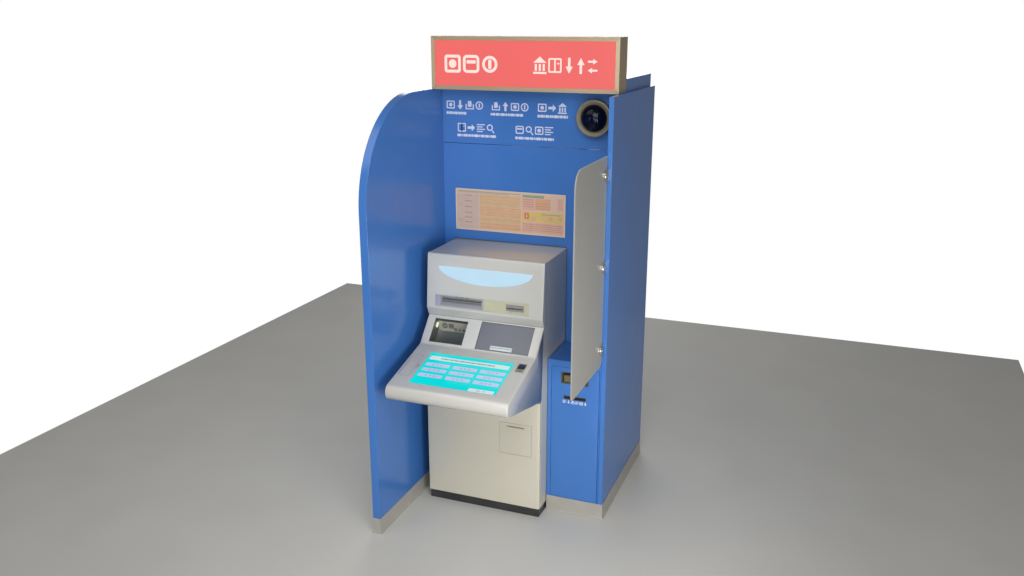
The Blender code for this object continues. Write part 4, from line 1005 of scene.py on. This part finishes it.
def touch_screen(desk):
    refine("touch_screen", 0.0006, key="screen_cyan")
    refine("display_unit", 0.0010)
    x0, s0 = SCREEN_CORNER
    skin = -0.6
    art = Art(desk, skin - 0.2, skin + 0.05, "screen_cyan")
    art.use("screen_pale").bar(x0 + 12, x0 + 422, s0 + 27, s0 + 58, 2)
    buttons = [(*column, *row) for row in BUTTON_ROWS for column in BUTTON_COLUMNS]
    for left, right, top, bottom in buttons:
        art.use("screen_button_edge", high=skin + 0.05)
        art.bar(x0 + left, x0 + right, s0 + top, s0 + bottom, 4)
        art.use("screen_button", high=skin + 0.08)
        art.bar(x0 + left + 1.2, x0 + right - 1.2, s0 + top + 1.2, s0 + bottom - 1.6, 3)
    art.use("screen_pale", high=skin + 0.08).bar(x0 + 298, x0 + 424, s0 + 233, s0 + 257, 3)
    art.use("screen_mark", high=skin + 0.11)
    broken_bar(art, x0 + 70, x0 + 350, s0 + 38, s0 + 47, 16)
    for (left, right, top, bottom), kinds in zip(buttons, BUTTON_KINDS):
        middle = (left + right) / 2
        half = 8.0 * len(kinds) + 8
        glyph_row(art, kinds, x0 + middle - half, x0 + middle + half,
                  s0 + top + 7.5, s0 + bottom - 7.5, 0.3)
    glyph_row(art, ["lines", "left"], x0 + 335, x0 + 388, s0 + 239, s0 + 252, 0.3)
    art.done("screen_picture", "screen_glass")
    bezel = Art(desk, -4.0, -0.15, "bezel_grey")
    bezel.ring(rounded(93.2, 531.8, 61.2, 322.8), rounded(94.9, 530.1, 62.9, 321.1))
    bezel.done("screen_gasket", "warm_grey_case")


def reader(desk):
    refine("reader_block", 0.0008, key="bezel_grey")
    art = Art(desk, 0.9, 1.3, "black_glass")
    art.bar(555.4, 589.4, 61.4, 101.6, 3)
    # The blue bar behind the reader's glass glows: a painted reflection.
    art.use("blue_lens_painted_glow", 1.2, 1.36).bar(560, 580, 66, 88, 3)
    art.use("module_dark", 1.0, 1.5)
    art.frame(554.2, 590.6, 60.2, 102.8, 1.4, 3.4)
    art.use("module_dark", high=1.6)
    for s in (108, 114, 120):
        art.bar(556, 586, s, s + 2.2, 1.1)
    art.done("reader_window", "dark_grey_plastic")


def handset_unit(desk):
    refine("handset", 0.0012, 3)
    refine("handset_cradle", 0.0005)
    art = Art(desk, -1.0, -0.5, "slot_black")
    for row in range(3):
        for column in range(4):
            art.plate(ellipse(30.5 + 7.6 * column, 119 + 7.6 * row, 1.1, steps=12))
    art.use("slot_black").plate(ellipse(42, 252, 1.1, steps=12))
    art.use("bezel_grey", -1.0, -0.35).frame(24, 60, 150, 222, 0.8, 10)
    art.done("handset_details", "warm_grey_case", BODY_OF["handset"])
    # A dark ring in the gap round the handset and a dark oval beside it: painted shadow.
    shadow_marks = Art(desk, -0.4, 0.12, "margin_dark")
    shadow_marks.ring(rounded(12.6, 71.4, 96.6, 272.4, 9.4), rounded(14.4, 69.6, 98.4, 270.6, 8.0))
    shadow_marks.plate(ellipse(78.5, 185, 3.2, 17.0, steps=40))
    shadow_marks.done("handset_painted_shadow", "warm_grey_case")


# ---- inside --------------------------------------------------------------
def unit_front(node, rows, levers=True):
    """Front of a working module: drawers or covers with pulls, screws and a lever."""
    width, height = span(node)
    margin = 10.0
    pitch = (height - margin) / rows
    art = Art(front_of(node), -0.3, 2.2, "module_dark")
    for row in range(rows):
        top = margin + pitch * row
        bottom = top + pitch - margin
        art.use("module_dark", -0.3, 2.2).bar(margin, width - margin, top, bottom, 4)
        art.use("module_housing", 2.0, 3.2)
        art.frame(margin + 5, width - margin - 5, top + 4, bottom - 4, 1.6, 3)
        art.use("slot_black", 2.0, 2.9)
        art.bar(width / 2 - 0.2 * width, width / 2 + 0.2 * width, bottom - 16, bottom - 9, 3)
        if levers:
            art.use("lever_green", 2.0, 7.0).bar(width - 34, width - 22, top + 8, top + 26, 3)
        art.use("satin_steel", 2.1)
        for x in (margin + 9, width - margin - 9):
            for s in (top + 8, bottom - 8):
                art.dome(x, s, 2.4, 1.2)
    art.done(f"{node}_front", SLOT_OF[node], BODY_OF[node], bevel=0.0004, segments=1)


def inside():
    refine_each(0.0015, "inner_shelf", "safe_body", "note_recycler", "coin_recycler",
                "passbook_printer", "card_reader", "controller")
    refine("safe_door", 0.0025, 3)
    unit_front("note_recycler", 4)
    unit_front("coin_recycler", 3)
    unit_front("passbook_printer", 2)
    unit_front("card_reader", 1)
    unit_front("controller", 3, levers=False)
    safe_fittings()


def safe_fittings():
    """Raised frame, dial, handle and hinges on the safe's door."""
    width, height = span("safe_door")
    art = Art(front_of("safe_door"), -0.4, 3.0, "safe_paint")
    art.frame(26, width - 26, 26, height - 26, 6, 8)
    dial_x, dial_s = width - 150, height * 0.32
    art.use("satin_steel", -0.4, 5.0).plate(ellipse(dial_x, dial_s, 34, steps=48))
    art.use("module_dark", 4.6, 12.0).plate(ellipse(dial_x, dial_s, 24, steps=48))
    art.use("label_white", 11.8, 12.2)
    for number in range(20):
        turn = math.tau * number / 20
        half = 2.0 if number % 5 == 0 else 1.1
        out_x, out_s = math.cos(turn), math.sin(turn)
        cx, cs = dial_x + out_x * (22 - half), dial_s + out_s * (22 - half)
        art.plate([(cx + out_x * half * along - out_s * 0.5 * across,
                    cs + out_s * half * along + out_x * 0.5 * across)
                   for along, across in ((-1, -1), (1, -1), (1, 1), (-1, 1))])
    handle_s = height * 0.6
    art.use("satin_steel", -0.4, 6.0).plate(ellipse(dial_x, handle_s, 20, steps=40))
    art.use("satin_steel", 5.6, 13.0)
    art.bar(width - 225, width - 138, handle_s - 9, handle_s + 9, 9)
    art.use("satin_steel", -0.4, 8.0)
    for s in (90, height / 2, height - 90):
        art.bar(6, 20, s - 34, s + 34, 6)
    art.done("safe_door_fittings", "safe_paint", BODY_OF["safe_door"], bevel=0.0008)


# ---- stage, light and camera ---------------------------------------------
FLOOR_X = (-2.955, 2.779)
FLOOR_Y = (-2.56, 3.170)
FLOOR_Z = -0.0004        # just under the feet, so the two faces don't flicker
SURROUND_LIGHT = 0.21    # light from all round; the camera itself sees plain white
WARM = (1.0, 0.985, 0.955)
WHITE = (1.0, 1.0, 1.0)
# name, place, target, size, watts, colour, spread in degrees
LAMPS = [
    ("key", (0.9, -3.6, 3.8), (0, 0, 0.6), (2.6, 2.0), 52, WARM, 180),
    ("upper_left", (-1.6, -2.0, 4.3), (-0.1, -0.1, 1.0), (2.4, 2.4), 32, WHITE, 180),
    ("front", (1.3, -4.6, 1.2), (0, 0, 0.5), (2.6, 1.6), 52, WARM, 180),
    ("near", (0.7, -2.0, 2.6), (0, 0, 0.9), (1.3, 1.0), 14, WARM, 180),
    ("low", (1.7, -2.0, 1.0), (0.15, -0.35, 0.8), (1.1, 0.9), 10, WARM, 90),
    ("rear", (-1.4, 4.0, 3.0), (0, 0.2, 1.1), (2.6, 2.2), 50, WHITE, 180),
]
LENS = 32.257            # millimetres on a sensor 36 mm wide, solved from the photograph
CAMERA_PLACE = (1.5764, -4.1526, 2.4320)
CAMERA_DOWN = 0.28513    # radians below level
CAMERA_TURN = 0.3694     # radians to the left of straight ahead


def stage():
    bm = bmesh.new()
    (x0, x1), (y0, y1) = FLOOR_X, FLOOR_Y
    corners = [(x0, y0), (x1, y0), (x1, y1), (x0, y1)]
    bm.faces.new([bm.verts.new((x, y, FLOOR_Z)) for x, y in corners])
    finish("floor_grey", (192, 191, 187), 0.55, 0.03, 2.5, grain=300, relief=0.00003)
    floor = to_object("floor", bm, ["floor_grey"])
    world = bpy.data.worlds.new("surround")
    bpy.context.scene.world = world
    world.use_nodes = True
    tree = world.node_tree
    tree.nodes.clear()
    output = add_node(tree, "OutputWorld")
    mix = add_node(tree, "MixShader")
    path = add_node(tree, "LightPath")
    dim = add_node(tree, "Background", {"Color": (*WHITE, 1.0), "Strength": SURROUND_LIGHT})
    seen = add_node(tree, "Background", {"Color": (*WHITE, 1.0), "Strength": 1.0})
    tree.links.new(path.outputs["Is Camera Ray"], mix.inputs[0])
    tree.links.new(dim.outputs[0], mix.inputs[1])
    tree.links.new(seen.outputs[0], mix.inputs[2])
    tree.links.new(mix.outputs[0], output.inputs["Surface"])


def area_light(name, place, target, size, power, colour, spread):
    lamp = bpy.data.lights.new(name, "AREA")
    lamp.shape = "RECTANGLE"
    lamp.size, lamp.size_y = size
    lamp.energy = power
    lamp.spread = math.radians(spread)
    lamp.color = colour
    made = bpy.data.objects.new(name, lamp)
    bpy.context.scene.collection.objects.link(made)
    made.visible_camera = False
    made.location = place
    made.rotation_euler = (Vector(target) - Vector(place)).to_track_quat("-Z", "Y").to_euler()


def light_and_camera():
    for lamp in LAMPS:
        area_light(*lamp)
    lens = bpy.data.cameras.new("view")
    lens.lens = LENS
    lens.sensor_width = 36.0
    made = bpy.data.objects.new("view", lens)
    bpy.context.scene.collection.objects.link(made)
    made.location = CAMERA_PLACE
    made.rotation_euler = (math.pi / 2 - CAMERA_DOWN, 0.0, CAMERA_TURN)
    bpy.context.scene.camera = made
    bpy.context.scene.view_settings.view_transform = "Standard"


make_finishes()
UPPER = sloping("insert_panel", (0, -1, 0), 43.3, 205.3, -1.5)
MIDDLE = sloping("bill_shutter", (0, -1, 1), 289.0, 2.0, -4.5)
DESK = sloping("touch_screen", (0, 0, 1), *SCREEN_CORNER, -0.6)
booth()
rear()
sign()
header()
notice()
camera_unit()
privacy_screen()
bin_unit()
machine_case()
fascia_details(UPPER)
money_pockets(MIDDLE)
touch_screen(DESK)
reader(DESK)
handset_unit(DESK)
inside()
for node_name, node in NODES.items():
    node.data.materials.clear()
    node.data.materials.append(FINISH[SLOT_OF[node_name]])
stage()
light_and_camera()
